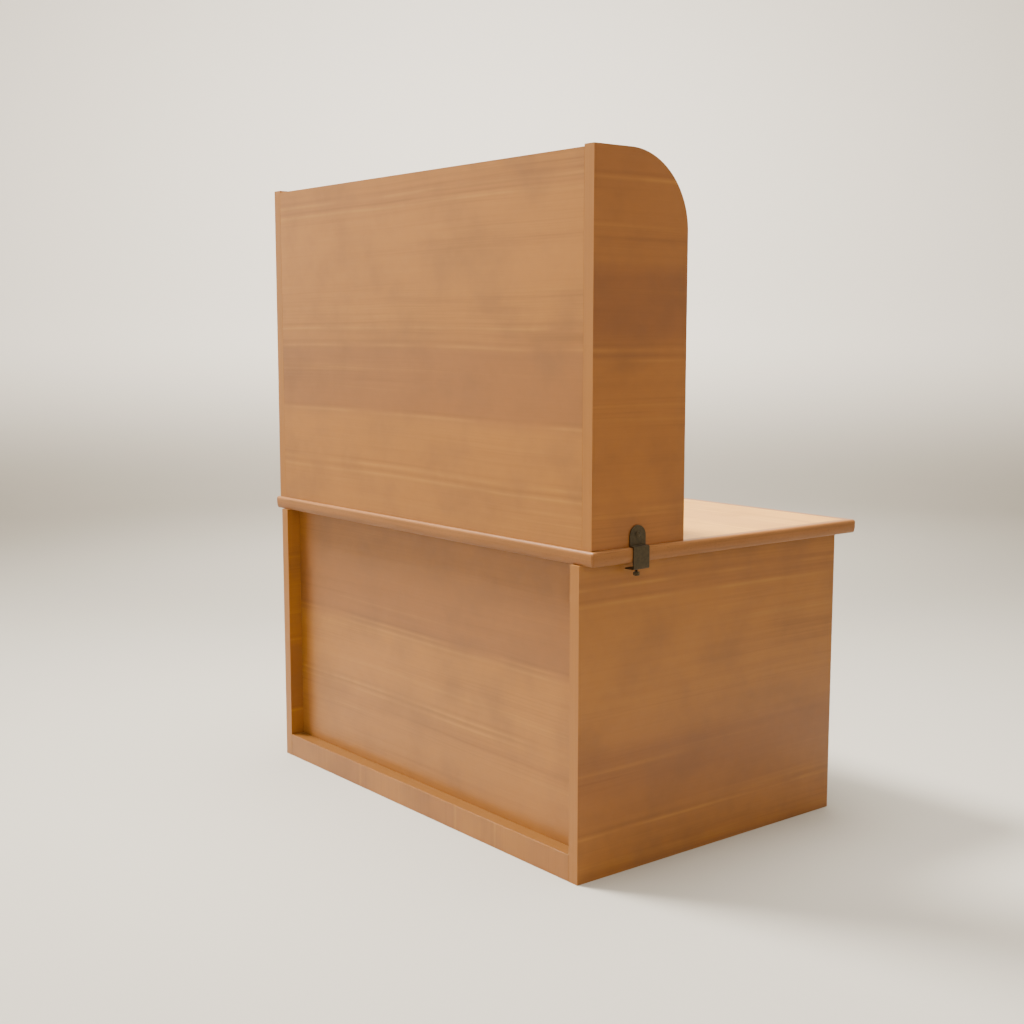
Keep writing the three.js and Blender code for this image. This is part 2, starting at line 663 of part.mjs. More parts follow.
function clampBracket() {
  const bent = toSolid(extrudeAcrossY(clampSection(), CLAMP_WIDTH, BEND_STEPS));
  const reach = CLAMP_FLANGE_LENGTH + CLAMP_PLATE + 2 * CUT_OVERRUN;
  const start = PLATE_INNER_X - CLAMP_FLANGE_LENGTH - CUT_OVERRUN;
  const face = toSolid(extrudeAlongX(clampFace(), reach, ROUND_STEPS).translate(start, 0, 0));
  const tabHole = rod(
    ROUND_SCREW_RADIUS + GAP, CLAMP_PLATE + 2 * CUT_OVERRUN,
    at(GAP - CUT_OVERRUN, 0, CLAMP_TAB_SCREW_HEIGHT), X_AXIS,
  );
  const flangeHole = rod(
    CLAMP_SCREW_RADIUS + GAP, CLAMP_PLATE + 2 * CUT_OVERRUN,
    at(CLAMP_SCREW_X, 0, FLANGE_BOTTOM - CUT_OVERRUN), Z_AXIS, ROUND_STEPS,
  );
  return carve(fromSolid(bent.intersect(face)), [tabHole, flangeHole]);
}

/** A round-headed, slotted wood screw through the bracket's tab into the wing. */
function tabScrew() {
  const faceX = 2 * GAP + CLAMP_PLATE;
  const sphere = (ROUND_HEAD_RADIUS ** 2 + ROUND_HEAD_HEIGHT ** 2) / (2 * ROUND_HEAD_HEIGHT);
  const halfAngle = Math.asin(ROUND_HEAD_RADIUS / sphere);
  const dome = spread(DOME_STEPS, halfAngle, 0).map((angle) =>
    [sphere * Math.sin(angle), ROUND_HEAD_HEIGHT - sphere * (1 - Math.cos(angle))]);
  const profile = [
    [0, -ROUND_SCREW_LENGTH],
    [ROUND_SCREW_RADIUS, ROUND_SCREW_TIP - ROUND_SCREW_LENGTH],
    [ROUND_SCREW_RADIUS, 0],
    ...dome,
  ];
  const centre = at(faceX, 0, CLAMP_TAB_SCREW_HEIGHT);
  const body = turned(profile, centre, X_AXIS, ROUND_STEPS);
  const top = faceX + ROUND_HEAD_HEIGHT;
  const slot = board(
    at(top - SLOT_DEPTH, -ROUND_HEAD_RADIUS, centre.z - SLOT_WIDTH / 2),
    at(top + CUT_OVERRUN, ROUND_HEAD_RADIUS, centre.z + SLOT_WIDTH / 2),
  );
  return carve(body, [slot]);
}

/** A knurled outline: a circle whose edge runs in and out. */
function knurledOutline(radius) {
  const points = [];
  for (let i = 0; i < 2 * KNURLS; i += 1) {
    const angle = (i * Math.PI) / KNURLS;
    const reach = i % 2 ? radius - KNURL_DEPTH : radius;
    points.push(new THREE.Vector2(reach * Math.cos(angle), reach * Math.sin(angle)));
  }
  return new THREE.Shape(points);
}

/** The clamp's screw: knurled head, threaded shank through the flange, and a spigot. */
function clampScrew() {
  const headTop = FLANGE_BOTTOM - CLAMP_NECK_LENGTH;
  const knob = new THREE.ExtrudeGeometry(knurledOutline(KNOB_RADIUS - KNOB_CHAMFER), {
    depth: KNOB_HEIGHT - 2 * KNOB_CHAMFER,
    bevelThickness: KNOB_CHAMFER,
    bevelSize: KNOB_CHAMFER,
    bevelSegments: 1,
  }).translate(CLAMP_SCREW_X, 0, headTop - KNOB_HEIGHT + KNOB_CHAMFER);
  const start = headTop - CUT_OVERRUN;
  const shoulder = PAD_TOP - PAD_HEIGHT - GAP - start;
  const shank = turned([
    [0, 0],
    [CLAMP_SCREW_RADIUS, 0],
    [CLAMP_SCREW_RADIUS, shoulder],
    [SPIGOT_RADIUS, shoulder],
    [SPIGOT_RADIUS, shoulder + SPIGOT_HEIGHT],
    [0, shoulder + SPIGOT_HEIGHT],
  ], at(CLAMP_SCREW_X, 0, start), Z_AXIS, ROUND_STEPS);
  return fromSolid(toSolid(knob).add(toSolid(shank)));
}

/** The pad that presses on the desktop's underside, with a socket for the screw's spigot. */
function clampPad() {
  const socket = SPIGOT_RADIUS + GAP;
  const profile = [
    [0, SPIGOT_HEIGHT],
    [socket, SPIGOT_HEIGHT],
    [socket, 0],
    [PAD_RADIUS, 0],
    [PAD_RADIUS, PAD_HEIGHT],
    [0, PAD_HEIGHT],
  ];
  return turned(profile, at(CLAMP_SCREW_X, 0, PAD_TOP - PAD_HEIGHT), Z_AXIS, ROUND_STEPS);
}

function addClamp(parent, name, side) {
  const clamp = new THREE.Group();
  clamp.position.set(side * SCREEN_WIDTH / 2, -CLAMP_FROM_WING_BACK, 0);
  clamp.rotation.z = side < 0 ? Math.PI : 0;
  add(clamp, `clamp_bracket_${name}`, clampBracket(), BRONZE);
  add(clamp, `clamp_tab_screw_${name}`, tabScrew(), BRONZE);
  add(clamp, `clamp_screw_${name}`, clampScrew(), BRONZE);
  add(clamp, `clamp_pad_${name}`, clampPad(), BRONZE);
  parent.add(clamp);
}

function addScreen(parent) {
  const screen = new THREE.Group();
  screen.position.set(0, SCREEN_BACK_Y, DESK_HEIGHT);
  add(screen, 'screen_back', backPanel(), VENEER);
  add(screen, 'screen_shelf', shelfPanel(), VENEER);
  add(screen, 'shelf_lipping', shelfLipping(), SOLID_WOOD);
  for (const site of BACK_CAMS) {
    add(screen, `screen_cam_${site.name}`, cam(site, BACK_FRONT_Y), ZINC);
    add(screen, `screen_cam_bolt_${site.name}`, camBolt(site), ZINC);
  }
  for (const [name, side] of SIDES) {
    add(screen, `screen_wing_${name}`, wing(side), VENEER);
    for (const [row, y] of PEG_ROWS) add(screen, `shelf_peg_${name}_${row}`, shelfPeg(side, y), ZINC);
    addClamp(screen, name, side);
  }
  parent.add(screen);
}

const carrel = new THREE.Group();
addBase(carrel);
addDesktop(carrel);
addScreen(carrel);

export default carrel;
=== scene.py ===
"""Looks for the study carrel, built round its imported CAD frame.

Metres, in the frame's own axes: +X is the reader's right, +Y the back, +Z up. The boards keep
their CAD shapes and get fine arrises and a veneer. The mouldings, clamps, cams, shelf pegs,
screws and feet are built again here with their full detail.
"""

import math

import bmesh
import bpy
from mathutils import Matrix, Vector


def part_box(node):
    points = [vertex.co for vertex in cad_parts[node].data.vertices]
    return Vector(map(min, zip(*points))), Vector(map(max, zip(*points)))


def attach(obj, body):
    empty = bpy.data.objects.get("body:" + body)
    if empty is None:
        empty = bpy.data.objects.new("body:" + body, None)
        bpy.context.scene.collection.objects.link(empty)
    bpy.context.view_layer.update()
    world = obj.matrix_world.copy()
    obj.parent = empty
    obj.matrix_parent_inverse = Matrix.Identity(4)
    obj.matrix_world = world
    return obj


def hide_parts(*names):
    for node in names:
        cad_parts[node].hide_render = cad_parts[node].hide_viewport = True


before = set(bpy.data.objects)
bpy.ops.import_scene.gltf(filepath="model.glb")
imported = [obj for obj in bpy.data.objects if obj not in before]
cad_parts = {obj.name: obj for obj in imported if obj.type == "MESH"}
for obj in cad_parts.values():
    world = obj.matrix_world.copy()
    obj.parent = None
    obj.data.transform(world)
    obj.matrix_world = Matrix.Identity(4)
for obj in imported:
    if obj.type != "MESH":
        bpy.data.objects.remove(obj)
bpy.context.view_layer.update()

MM = 0.001
SIDES = (("left", -1), ("right", 1))
LEVELS = ("lower", "upper")
FEET = [f"{place}_{side}" for side, _ in SIDES for place in ("front", "rear")]
X, Y, Z = Vector((1, 0, 0)), Vector((0, 1, 0)), Vector((0, 0, 1))

# ---------- sizes that the frame doesn't give ----------

BOARD_ARRIS = 1.2 * MM
EDGE_ARRIS = 0.8 * MM
METAL_ARRIS = 0.45 * MM
ARRIS_STEPS = 3
SHARP_ANGLE = math.radians(35)
WELD_DISTANCE = 0.02 * MM

LIPPING_TOP_RADIUS = 7 * MM
LIPPING_FLAT_END = 17 * MM  # the flat's lower end, above the underside
LIPPING_BELLY_RADIUS = 45 * MM
LIPPING_BELLY_END = 3 * MM
LIPPING_BOTTOM_INSET = 6 * MM
LIPPING_CORNER_RADIUS = 6 * MM
MITRE_GAP = 0.15 * MM

CLAMP_PLATE = 3 * MM
CLAMP_BEND = 2.6 * MM  # radius of the strip's middle line
CLAMP_GAP = 0.3 * MM  # between the strip and the wood
CLAMP_COLUMNS = 12  # faces across the strip
CLAMP_DOME_STEPS = 16
CLAMP_SCREW_RADIUS = 3 * MM
CLAMP_NECK = 1.5 * MM
CLAMP_PITCH = 1.0 * MM
KNOB_RADIUS = 7 * MM
KNOB_HEIGHT = 8 * MM
KNURLS = 36
KNURL_DEPTH = 0.45 * MM
SPIGOT_RADIUS = 2 * MM
SPIGOT_HEIGHT = 1.6 * MM
THREAD_DEPTH = 0.45 * MM

TAB_HEAD_STANDOFF = 0.6 * MM  # the head's underside, past the strip's thickness
TAB_SHANK_RADIUS = 2.5 * MM
TAB_SLOT_WIDTH, TAB_SLOT_DEPTH = 1.4 * MM, 1.3 * MM
TAB_SLOT_TILT = math.radians(28)
TAB_ARRIS = 0.12 * MM

FOOT_PITCH = 1.25 * MM
FOOT_STEM_RADIUS = 4 * MM
FOOT_COLLAR_HEIGHT = 3.5 * MM
FOOT_COLLAR_FACE = 0.86  # the collar's flat face, as a share of its corner radius
FOOT_INSERT_ARRIS = 0.3 * MM

CAM_RECESS_LENGTH, CAM_RECESS_WIDTH, CAM_RECESS_DEPTH = 9 * MM, 1.6 * MM, 2.2 * MM
CAM_BOLT_ARRIS = 0.2 * MM
PEG_PIN_RADIUS = 2.5 * MM
PEG_TIP_RADIUS = 1.9 * MM

CLEAT_SCREW_RADIUS = 4 * MM
CLEAT_SCREW_PITCH = 150 * MM
CLEAT_SCREW_RECESS_DEPTH = 0.9 * MM

# ---------- mesh helpers ----------


def mesh_object(name, vertices, faces):
    """A new object from vertices and faces, with coincident vertices merged and normals out."""
    bm = bmesh.new()
    made = [bm.verts.new(v) for v in vertices]
    for face in faces:
        bm.faces.new([made[i] for i in face])
    bmesh.ops.remove_doubles(bm, verts=bm.verts, dist=WELD_DISTANCE / 10)
    bmesh.ops.dissolve_degenerate(bm, edges=bm.edges, dist=WELD_DISTANCE / 10)
    bmesh.ops.recalc_face_normals(bm, faces=bm.faces)
    mesh = bpy.data.meshes.new(name)
    bm.to_mesh(mesh)
    bm.free()
    piece = bpy.data.objects.new(name, mesh)
    bpy.context.scene.collection.objects.link(piece)
    return piece


def smooth(piece, angle=SHARP_ANGLE):
    piece.data.shade_smooth()
    piece.data.set_sharp_from_angle(angle=angle)
    return piece


def soften(piece, radius, weld=False):
    """Fine rounded arrises, and normals that keep the flats flat."""
    if weld:
        piece.modifiers.new("weld", "WELD").merge_threshold = WELD_DISTANCE
    bevel = piece.modifiers.new("arris", "BEVEL")
    bevel.width = radius
    bevel.segments = ARRIS_STEPS
    bevel.limit_method = "ANGLE"
    bevel.angle_limit = SHARP_ANGLE
    bevel.use_clamp_overlap = True
    normals = piece.modifiers.new("normals", "WEIGHTED_NORMAL")
    normals.keep_sharp = False
    return piece


def finished(piece, body, material, slot, *nodes):
    """Gives a piece its material and the body it rides on. The slot argument is not used."""
    piece.data.materials.clear()
    piece.data.materials.append(material)
    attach(piece, body)
    if nodes:
        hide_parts(*nodes)
    return piece


def baked(piece):
    """The piece with its modifiers applied."""
    bpy.context.view_layer.update()
    shape = piece.evaluated_get(bpy.context.evaluated_depsgraph_get())
    piece.data = bpy.data.meshes.new_from_object(shape)
    piece.modifiers.clear()
    return piece


def cut(piece, *cutters):
    """The piece with each cutter taken out of it. The cutters are used up."""
    for cutter in cutters:
        modifier = piece.modifiers.new("cut", "BOOLEAN")
        modifier.solver = "EXACT"
        modifier.object = cutter
    baked(piece)
    for cutter in cutters:
        bpy.data.objects.remove(cutter)
    return piece


def facing(axis):
    """The rotation that takes +Z to axis."""
    return Z.rotation_difference(Vector(axis)).to_matrix()


def lathe(name, rows, place, axis=Z, steps=48):
    """A closed body turned about axis. Each row is (radius, height), and a radius may be a
    function of the angle."""
    turn = facing(axis)
    vertices, faces = [], []
    for radius, height in rows:
        for k in range(steps):
            angle = math.tau * k / steps
            reach = radius(angle) if callable(radius) else radius
            point = Vector((reach * math.cos(angle), reach * math.sin(angle), height))
            vertices.append(Vector(place) + turn @ point)
    for row in range(len(rows) - 1):
        for k in range(steps):
            a, b = row * steps + k, row * steps + (k + 1) % steps
            faces.append((a, b, b + steps, a + steps))
    faces.append(range(steps))
    faces.append(range((len(rows) - 1) * steps, len(rows) * steps))
    return mesh_object(name, vertices, faces)


def block(name, low, high):
    """A box between two corners, for cutting with."""
    corners = [(x, y, z) for z in (low[2], high[2]) for y in (low[1], high[1])
               for x in (low[0], high[0])]
    faces = [(0, 1, 3, 2), (4, 5, 7, 6), (0, 1, 5, 4), (2, 3, 7, 6), (0, 2, 6, 4), (1, 3, 7, 5)]
    return mesh_object(name, corners, faces)


def arc(centre, radius, start, end, steps):
    """Points on a circle, angles in degrees."""
    angles = [math.radians(start + (end - start) * k / steps) for k in range(steps + 1)]
    return [(centre[0] + radius * math.cos(a), centre[1] + radius * math.sin(a)) for a in angles]


def thread_rows(radius, pitch, low, high, steps_per_turn=6):
    """Rows for a lathe that together make a right-hand thread from low to high."""
    count = max(2, round((high - low) / pitch * steps_per_turn))
    rows = []
    for i in range(count + 1):
        height = low + (high - low) * i / count
        room = min(height - low, high - height)

        def reach(angle, height=height, room=room):
            phase = (height / pitch - angle / math.tau) % 1
            depth = THREAD_DEPTH * abs(2 * phase - 1)
            return radius - max(depth, THREAD_DEPTH - room)

        rows.append((reach, height))
    return rows


# ---------- node helpers ----------


def new_material(name):
    material = bpy.data.materials.new(name)
    material.use_nodes = True
    tree = material.node_tree
    return material, tree, tree.nodes["Principled BSDF"]


def node(tree, kind, inputs=None, **settings):
    """A shader node. An input's value is a socket to link or a constant."""
    made = tree.nodes.new("ShaderNode" + kind)
    for key, value in settings.items():
        setattr(made, key, value)
    for key, value in (inputs or {}).items():
        if isinstance(value, bpy.types.NodeSocket):
            tree.links.new(value, made.inputs[key])
        else:
            made.inputs[key].default_value = value
    return made


def calc(tree, operation, a, b=0.0, c=0.0, clamp=False):
    inputs = {0: a, 1: b}
    if operation in ("MULTIPLY_ADD", "COMPARE"):
        inputs[2] = c
    return node(tree, "Math", inputs, operation=operation, use_clamp=clamp).outputs[0]


def rescaled(tree, value, low, high, to_low=0.0, to_high=1.0):
    inputs = {"Value": value, "From Min": low, "From Max": high,
              "To Min": to_low, "To Max": to_high}
    return node(tree, "MapRange", inputs, clamp=True, interpolation_type="SMOOTHSTEP").outputs[0]


def noise(tree, place, scale=1.0, detail=3.0, roughness=0.5, distortion=0.0):
    inputs = {"Vector": place, "Scale": scale, "Detail": detail, "Roughness": roughness,
              "Distortion": distortion}
    return node(tree, "TexNoise", inputs).outputs["Fac"]


def combined(tree, x, y, z):
    return node(tree, "CombineXYZ", {"X": x, "Y": y, "Z": z}).outputs[0]


def blend(tree, share, a, b, kind="MIX"):
    made = node(tree, "Mix", {"Factor": share}, data_type="RGBA", blend_type=kind,
                clamp_factor=True)
    for index, value in ((6, a), (7, b)):
        if isinstance(value, bpy.types.NodeSocket):
            tree.links.new(value, made.inputs[index])
        else:
            made.inputs[index].default_value = (*value, 1.0)
    return made.outputs[2]


def ramp(tree, value, stops):
    """A grey ramp through (place, level) stops."""
    made = node(tree, "ValToRGB", {"Fac": value})
    elements = made.color_ramp.elements
    while len(elements) < len(stops):
        elements.new(0.5)
    for element, (place, level) in zip(elements, stops):
        element.position = place
    for element, (place, level) in zip(elements, stops):
        element.color = (level, level, level, 1.0)
    return made.outputs["Color"]


def object_axes(tree):
    """The piece's own X, Y and Z."""
    place = node(tree, "TexCoord").outputs["Object"]
    apart = node(tree, "SeparateXYZ", {0: place})
    return {axis: apart.outputs[axis.upper()] for axis in "xyz"}


def face_share(tree, through, both=True):
    """1 on the board's two wide faces, or only the upper one, and 0 on its edges."""
    normal = node(tree, "SeparateXYZ", {0: node(tree, "TexCoord").outputs["Normal"]})
    toward = normal.outputs[through.upper()]
    if both:
        toward = calc(tree, "ABSOLUTE", toward)
    return rescaled(tree, toward, 0.45, 0.8)


# ---------- wood ----------

GOLD = (0.282, 0.112, 0.017)
RED = (0.200, 0.075, 0.018)
STREAK_DARK = (0.128, 0.045, 0.010)
STREAK_LIGHT = (0.400, 0.180, 0.027)
SHADE = (0.145, 0.060, 0.020)
EDGE_TONE = (0.255, 0.100, 0.017)
LIPPING_TONE = (0.235, 0.096, 0.027)
PINE_TONE = (0.42, 0.24, 0.085)
BEECH_TONE = (0.45, 0.27, 0.11)

VARNISH_SPECULAR, VARNISH_COAT, VARNISH_ROUGHNESS = 0.26, 0.21, 0.25
LIPPING_GLOSS = 0.7

# how strongly each part of the figure shows
LIGHT_SHARE, DARK_SHARE, FINE_SHARE = 0.26, 0.42, 0.20
# the seam shadow share sets a painted shade line beside each pale seam
SEAM_SHARE, SEAM_SHADOW_SHARE, BLOTCH_SHARE = 0.48, 0.30, 0.44

LEAF_EDGE = 36 * MM  # how softly one leaf of veneer meets the next
LINE_SPREAD = 5 * MM  # half the width of a pale line between leaves


def leaf_stops(low, high, leaves):
    """Ramp stops for leaves given as (upper height, redness), from low to high."""
    stops, start = [], low
    for top, redness in leaves:
        top = min(top, high)
        soft = min(LEAF_EDGE, (top - start) / 2)
        for height in (start + soft / 2, top - soft / 2):
            stops.append(((height - low) / (high - low), redness))
        start = top
    return stops


def line_stops(low, high, heights):
    """Ramp stops with a narrow peak at each height."""
    stops = [(0.0, 0.0)]
    for height in heights:
        for offset, level in ((-LINE_SPREAD, 0.0), (0, 1.0), (LINE_SPREAD, 0.0)):
            stops.append(((height + offset - low) / (high - low), level))
    return stops


def varnish(shader, gloss=1.0):
    """A satin lacquer over the wood."""
    shader.inputs["Specular IOR Level"].default_value = VARNISH_SPECULAR * gloss
    shader.inputs["Coat Weight"].default_value = VARNISH_COAT * gloss
    shader.inputs["Coat Roughness"].default_value = VARNISH_ROUGHNESS
    shader.inputs["Coat IOR"].default_value = 1.5


def fine_bump(tree, shader, height, strength, distance):
    inputs = {"Height": height, "Strength": strength, "Distance": distance}
    tree.links.new(node(tree, "Bump", inputs).outputs[0], shader.inputs["Normal"])


def veneer(name, along, across, through, extent, leaves, seams, seed, tone_and_painted_light=(1, 1, 1), gloss=1.0,
           painted_edge_shade_level=1.0, both=True):
    """Crown and straight-grained veneer on a board, and a plain banding on its edges.
    extent is the board's lowest and highest place along the across axis. The tint, gloss and
    edge level change a board from the plain one, and both says whether the two wide faces
    take the tint or only the upper one. A tint on both faces is the board's own tone; a tint on
    the upper face only is painted light, which brightens the desktop's top to stand in for the
    strong light on it. An edge level below 1 darkens the edge banding as painted shade."""
    material, tree, shader = new_material(name)
    axes = object_axes(tree)
    u, v, w = axes[along], axes[across], axes[through]
    sway = noise(tree, combined(tree, calc(tree, "MULTIPLY", u, 1.1), v, seed), 1.0, 2.0)
    v = calc(tree, "MULTIPLY_ADD", sway, 0.03, calc(tree, "SUBTRACT", v, 0.015))

    # one leaf of veneer against the next
    low, high = extent
    height = node(tree, "MapRange", {"Value": v, "From Min": low, "From Max": high}).outputs[0]
    redness = ramp(tree, height, leaf_stops(low, high, leaves))
    fade = noise(tree, combined(tree, calc(tree, "MULTIPLY", u, 3.0),
                                calc(tree, "MULTIPLY", v, 20.0), seed + 5.0), 1.0, 2.0)
    seam = calc(tree, "MULTIPLY", ramp(tree, height, line_stops(low, high, seams)),
                rescaled(tree, fade, 0.38, 0.62, 0.10, 1.0))
    # a dark line painted beside each pale seam as its shadow: painted shade
    shadow_seams = [place + 2.2 * LINE_SPREAD for place in seams]
    seam_shadow = calc(tree, "MULTIPLY", ramp(tree, height, line_stops(low, high, shadow_seams)),
                  rescaled(tree, fade, 0.34, 0.58, 0.20, 1.0))

    # long streaks, gathered in groups
    streaks = noise(tree, combined(tree, calc(tree, "MULTIPLY", u, 0.9),
                                   calc(tree, "MULTIPLY", v, 46.0), w), 1.0, 5.0, 0.62)
    lines = noise(tree, combined(tree, calc(tree, "MULTIPLY", u, 2.2),
                                 calc(tree, "MULTIPLY", v, 210.0), seed), 1.0, 3.0, 0.6)
    groups = rescaled(tree, noise(tree, combined(tree, calc(tree, "MULTIPLY", u, 0.5),
                                                 calc(tree, "MULTIPLY", v, 8.5), seed + 3.1),
                                  1.0, 2.0), 0.44, 0.62, 0.25, 1.0)
    dark = calc(tree, "MULTIPLY", rescaled(tree, streaks, 0.50, 0.72), groups)
    light = calc(tree, "MULTIPLY", rescaled(tree, streaks, 0.46, 0.28), groups)
    fine = calc(tree, "MULTIPLY", rescaled(tree, lines, 0.42, 0.68), groups)

    # soft blotches that the stain leaves, a little taller than wide
    spots = noise(tree, combined(tree, calc(tree, "MULTIPLY", u, 7.5),
                                 calc(tree, "MULTIPLY", v, 8.0), seed + 7.7), 1.0, 3.0, 0.52)
    blotch = rescaled(tree, spots, 0.38, 0.80)
    mottle = noise(tree, combined(tree, calc(tree, "MULTIPLY", u, 38.0),
                                  calc(tree, "MULTIPLY", v, 46.0), seed + 9.2), 1.0, 3.0)
    cloud = noise(tree, combined(tree, calc(tree, "MULTIPLY", u, 2.0),
                                 calc(tree, "MULTIPLY", v, 3.0), seed + 1.3), 1.0, 2.0)
    pores = noise(tree, combined(tree, calc(tree, "MULTIPLY", u, 60.0),
                                 calc(tree, "MULTIPLY", v, 1500.0), w), 1.0, 2.0)

    colour = blend(tree, redness, GOLD, RED)
    colour = blend(tree, calc(tree, "MULTIPLY", light, LIGHT_SHARE), colour, STREAK_LIGHT)
    colour = blend(tree, calc(tree, "MULTIPLY", dark, DARK_SHARE), colour, STREAK_DARK)
    colour = blend(tree, calc(tree, "MULTIPLY", fine, FINE_SHARE), colour, STREAK_DARK)
    colour = blend(tree, calc(tree, "MULTIPLY", seam, SEAM_SHARE), colour, STREAK_LIGHT)
    colour = blend(tree, calc(tree, "MULTIPLY", seam_shadow, SEAM_SHADOW_SHARE), colour, STREAK_DARK)
    colour = blend(tree, calc(tree, "MULTIPLY", blotch, BLOTCH_SHARE), colour, SHADE)
    value = calc(tree, "MULTIPLY_ADD", cloud, 0.24, 0.84)
    value = calc(tree, "MULTIPLY_ADD", mottle, 0.10, value)
    value = calc(tree, "MULTIPLY_ADD", pores, 0.10, value)
    face = node(tree, "HueSaturation", {"Color": colour, "Value": value}).outputs[0]
    # a tint on both faces is the board's own tone; on the upper face only it is painted light
    if tone_and_painted_light != (1, 1, 1):
        tone_and_light_share = 1.0 if both else face_share(tree, through, both)
        face = blend(tree, tone_and_light_share, face, tone_and_painted_light, kind="MULTIPLY")

    # the banding on the edges: grain along the edge, hardly figured; an edge level below 1 darkens
    # it as painted shade
    band = noise(tree, combined(tree, calc(tree, "MULTIPLY", axes[along], 1.5),
                                calc(tree, "MULTIPLY", axes[across], 1.5),
                                calc(tree, "MULTIPLY", w, 160.0)), 1.0, 3.0)
    edge = node(tree, "HueSaturation", {"Color": (*EDGE_TONE, 1.0),
                "Value": calc(tree, "MULTIPLY_ADD", band, 0.25 * painted_edge_shade_level, 0.875 * painted_edge_shade_level)
                }).outputs[0]

    share = face_share(tree, through)
    tree.links.new(blend(tree, share, edge, face), shader.inputs["Base Color"])
    rough = calc(tree, "MULTIPLY_ADD", lines, 0.10, 0.33)
    tree.links.new(calc(tree, "MULTIPLY_ADD", blotch, 0.05, rough), shader.inputs["Roughness"])
    varnish(shader, gloss)
    relief = calc(tree, "ADD", calc(tree, "MULTIPLY", lines, 0.6),
                  calc(tree, "MULTIPLY", pores, 0.4))
    fine_bump(tree, shader, relief, 0.10, 0.1 * MM)
    return material


def solid_wood(name, along, tone, seed, satin=True):
    """Solid timber whose grain runs along one axis, with short dark flecks."""
    material, tree, shader = new_material(name)
    axes = object_axes(tree)
    a, b = [axes[k] for k in "xyz" if k != along]
    u = axes[along]
    streaks = noise(tree, combined(tree, calc(tree, "MULTIPLY", u, 1.6),
                                   calc(tree, "MULTIPLY", a, 140.0),
                                   calc(tree, "MULTIPLY_ADD", b, 140.0, seed)), 1.0, 4.0, 0.6)
    flecks = noise(tree, combined(tree, calc(tree, "MULTIPLY", u, 150.0),
                                  calc(tree, "MULTIPLY", a, 900.0),
                                  calc(tree, "MULTIPLY", b, 420.0)), 1.0, 1.5)
    cloud = noise(tree, combined(tree, calc(tree, "MULTIPLY", u, 5.0), a, seed), 1.0, 2.0)
    fleck = rescaled(tree, flecks, 0.60, 0.72)
    colour = blend(tree, calc(tree, "MULTIPLY", rescaled(tree, streaks, 0.45, 0.7), 0.35),
                   tone, tuple(0.55 * c for c in tone))
    colour = blend(tree, calc(tree, "MULTIPLY", fleck, 0.30), colour, tuple(0.45 * c for c in tone))
    value = calc(tree, "MULTIPLY_ADD", cloud, 0.24, 0.88)
    colour = node(tree, "HueSaturation", {"Color": colour, "Value": value}).outputs[0]
    tree.links.new(colour, shader.inputs["Base Color"])
    base = 0.38 if satin else 0.58
    tree.links.new(calc(tree, "MULTIPLY_ADD", streaks, 0.14, base), shader.inputs["Roughness"])
    if satin:
        varnish(shader, LIPPING_GLOSS)
    fine_bump(tree, shader, calc(tree, "SUBTRACT", streaks, fleck), 0.12, 0.1 * MM)
    return material


# ---------- metal and plastic ----------

BRONZE_TONES = (0.066, 0.049, 0.026), (0.046, 0.036, 0.021)
BRONZE_WORN = (0.260, 0.185, 0.085)
BRONZE_WEAR_WIDTH = 0.8 * MM
ZINC_TONES = (0.56, 0.565, 0.58), (0.63, 0.61, 0.53)
NYLON_TONES = (0.020, 0.020, 0.022), (0.045, 0.044, 0.042)


def edge_wear(tree, radius):
    """1 where the surface turns over an edge."""
    rounded = node(tree, "Bevel", {"Radius": radius}, samples=4).outputs[0]
    normal = node(tree, "NewGeometry").outputs["Normal"]
    facing_same = node(tree, "VectorMath", {0: rounded, 1: normal}, operation="DOT_PRODUCT")
    return rescaled(tree, facing_same.outputs["Value"], 0.985, 0.86)


def bronze():
    """Dark bronzed steel: mottled, a little brighter where hands and edges wear it."""
    material, tree, shader = new_material("bronze_finish")
    place = node(tree, "TexCoord").outputs["Object"]
    mottle = noise(tree, place, 160.0, 4.0, 0.6)
    grain = noise(tree, place, 2600.0, 2.0)
    worn = calc(tree, "MULTIPLY", edge_wear(tree, BRONZE_WEAR_WIDTH),
                rescaled(tree, mottle, 0.35, 0.6))
    colour = blend(tree, rescaled(tree, mottle, 0.35, 0.7), *BRONZE_TONES)
    colour = blend(tree, calc(tree, "MULTIPLY", worn, 0.5), colour, BRONZE_WORN)
    tree.links.new(colour, shader.inputs["Base Color"])
    shader.inputs["Metallic"].default_value = 0.75
    tree.links.new(calc(tree, "MULTIPLY_ADD", grain, 0.18, 0.36), shader.inputs["Roughness"])
    fine_bump(tree, shader, grain, 0.10, 0.05 * MM)
    return material


def zinc():
    """Bright zinc plate with a fine turned grain and a faint yellow and blue passivation."""
    material, tree, shader = new_material("zinc_plate")
    place = node(tree, "TexCoord").outputs["Object"]
    clouds = noise(tree, place, 220.0, 3.0)
    grain = noise(tree, place, 3200.0, 2.0)
    colour = blend(tree, clouds, *ZINC_TONES)
    tree.links.new(colour, shader.inputs["Base Color"])
    shader.inputs["Metallic"].default_value = 1.0
    tree.links.new(calc(tree, "MULTIPLY_ADD", grain, 0.20, 0.24), shader.inputs["Roughness"])
    fine_bump(tree, shader, grain, 0.12, 0.04 * MM)
    return material


def nylon():
    """Moulded black nylon with a fine spark-eroded texture."""
    material, tree, shader = new_material("black_nylon")
    place = node(tree, "TexCoord").outputs["Object"]
    texture = noise(tree, place, 2200.0, 3.0)
    dust = noise(tree, place, 90.0, 3.0)
    colour = blend(tree, dust, *NYLON_TONES)
    tree.links.new(colour, shader.inputs["Base Color"])
    tree.links.new(calc(tree, "MULTIPLY_ADD", texture, 0.2, 0.45), shader.inputs["Roughness"])
    fine_bump(tree, shader, texture, 0.25, 0.06 * MM)
    return material
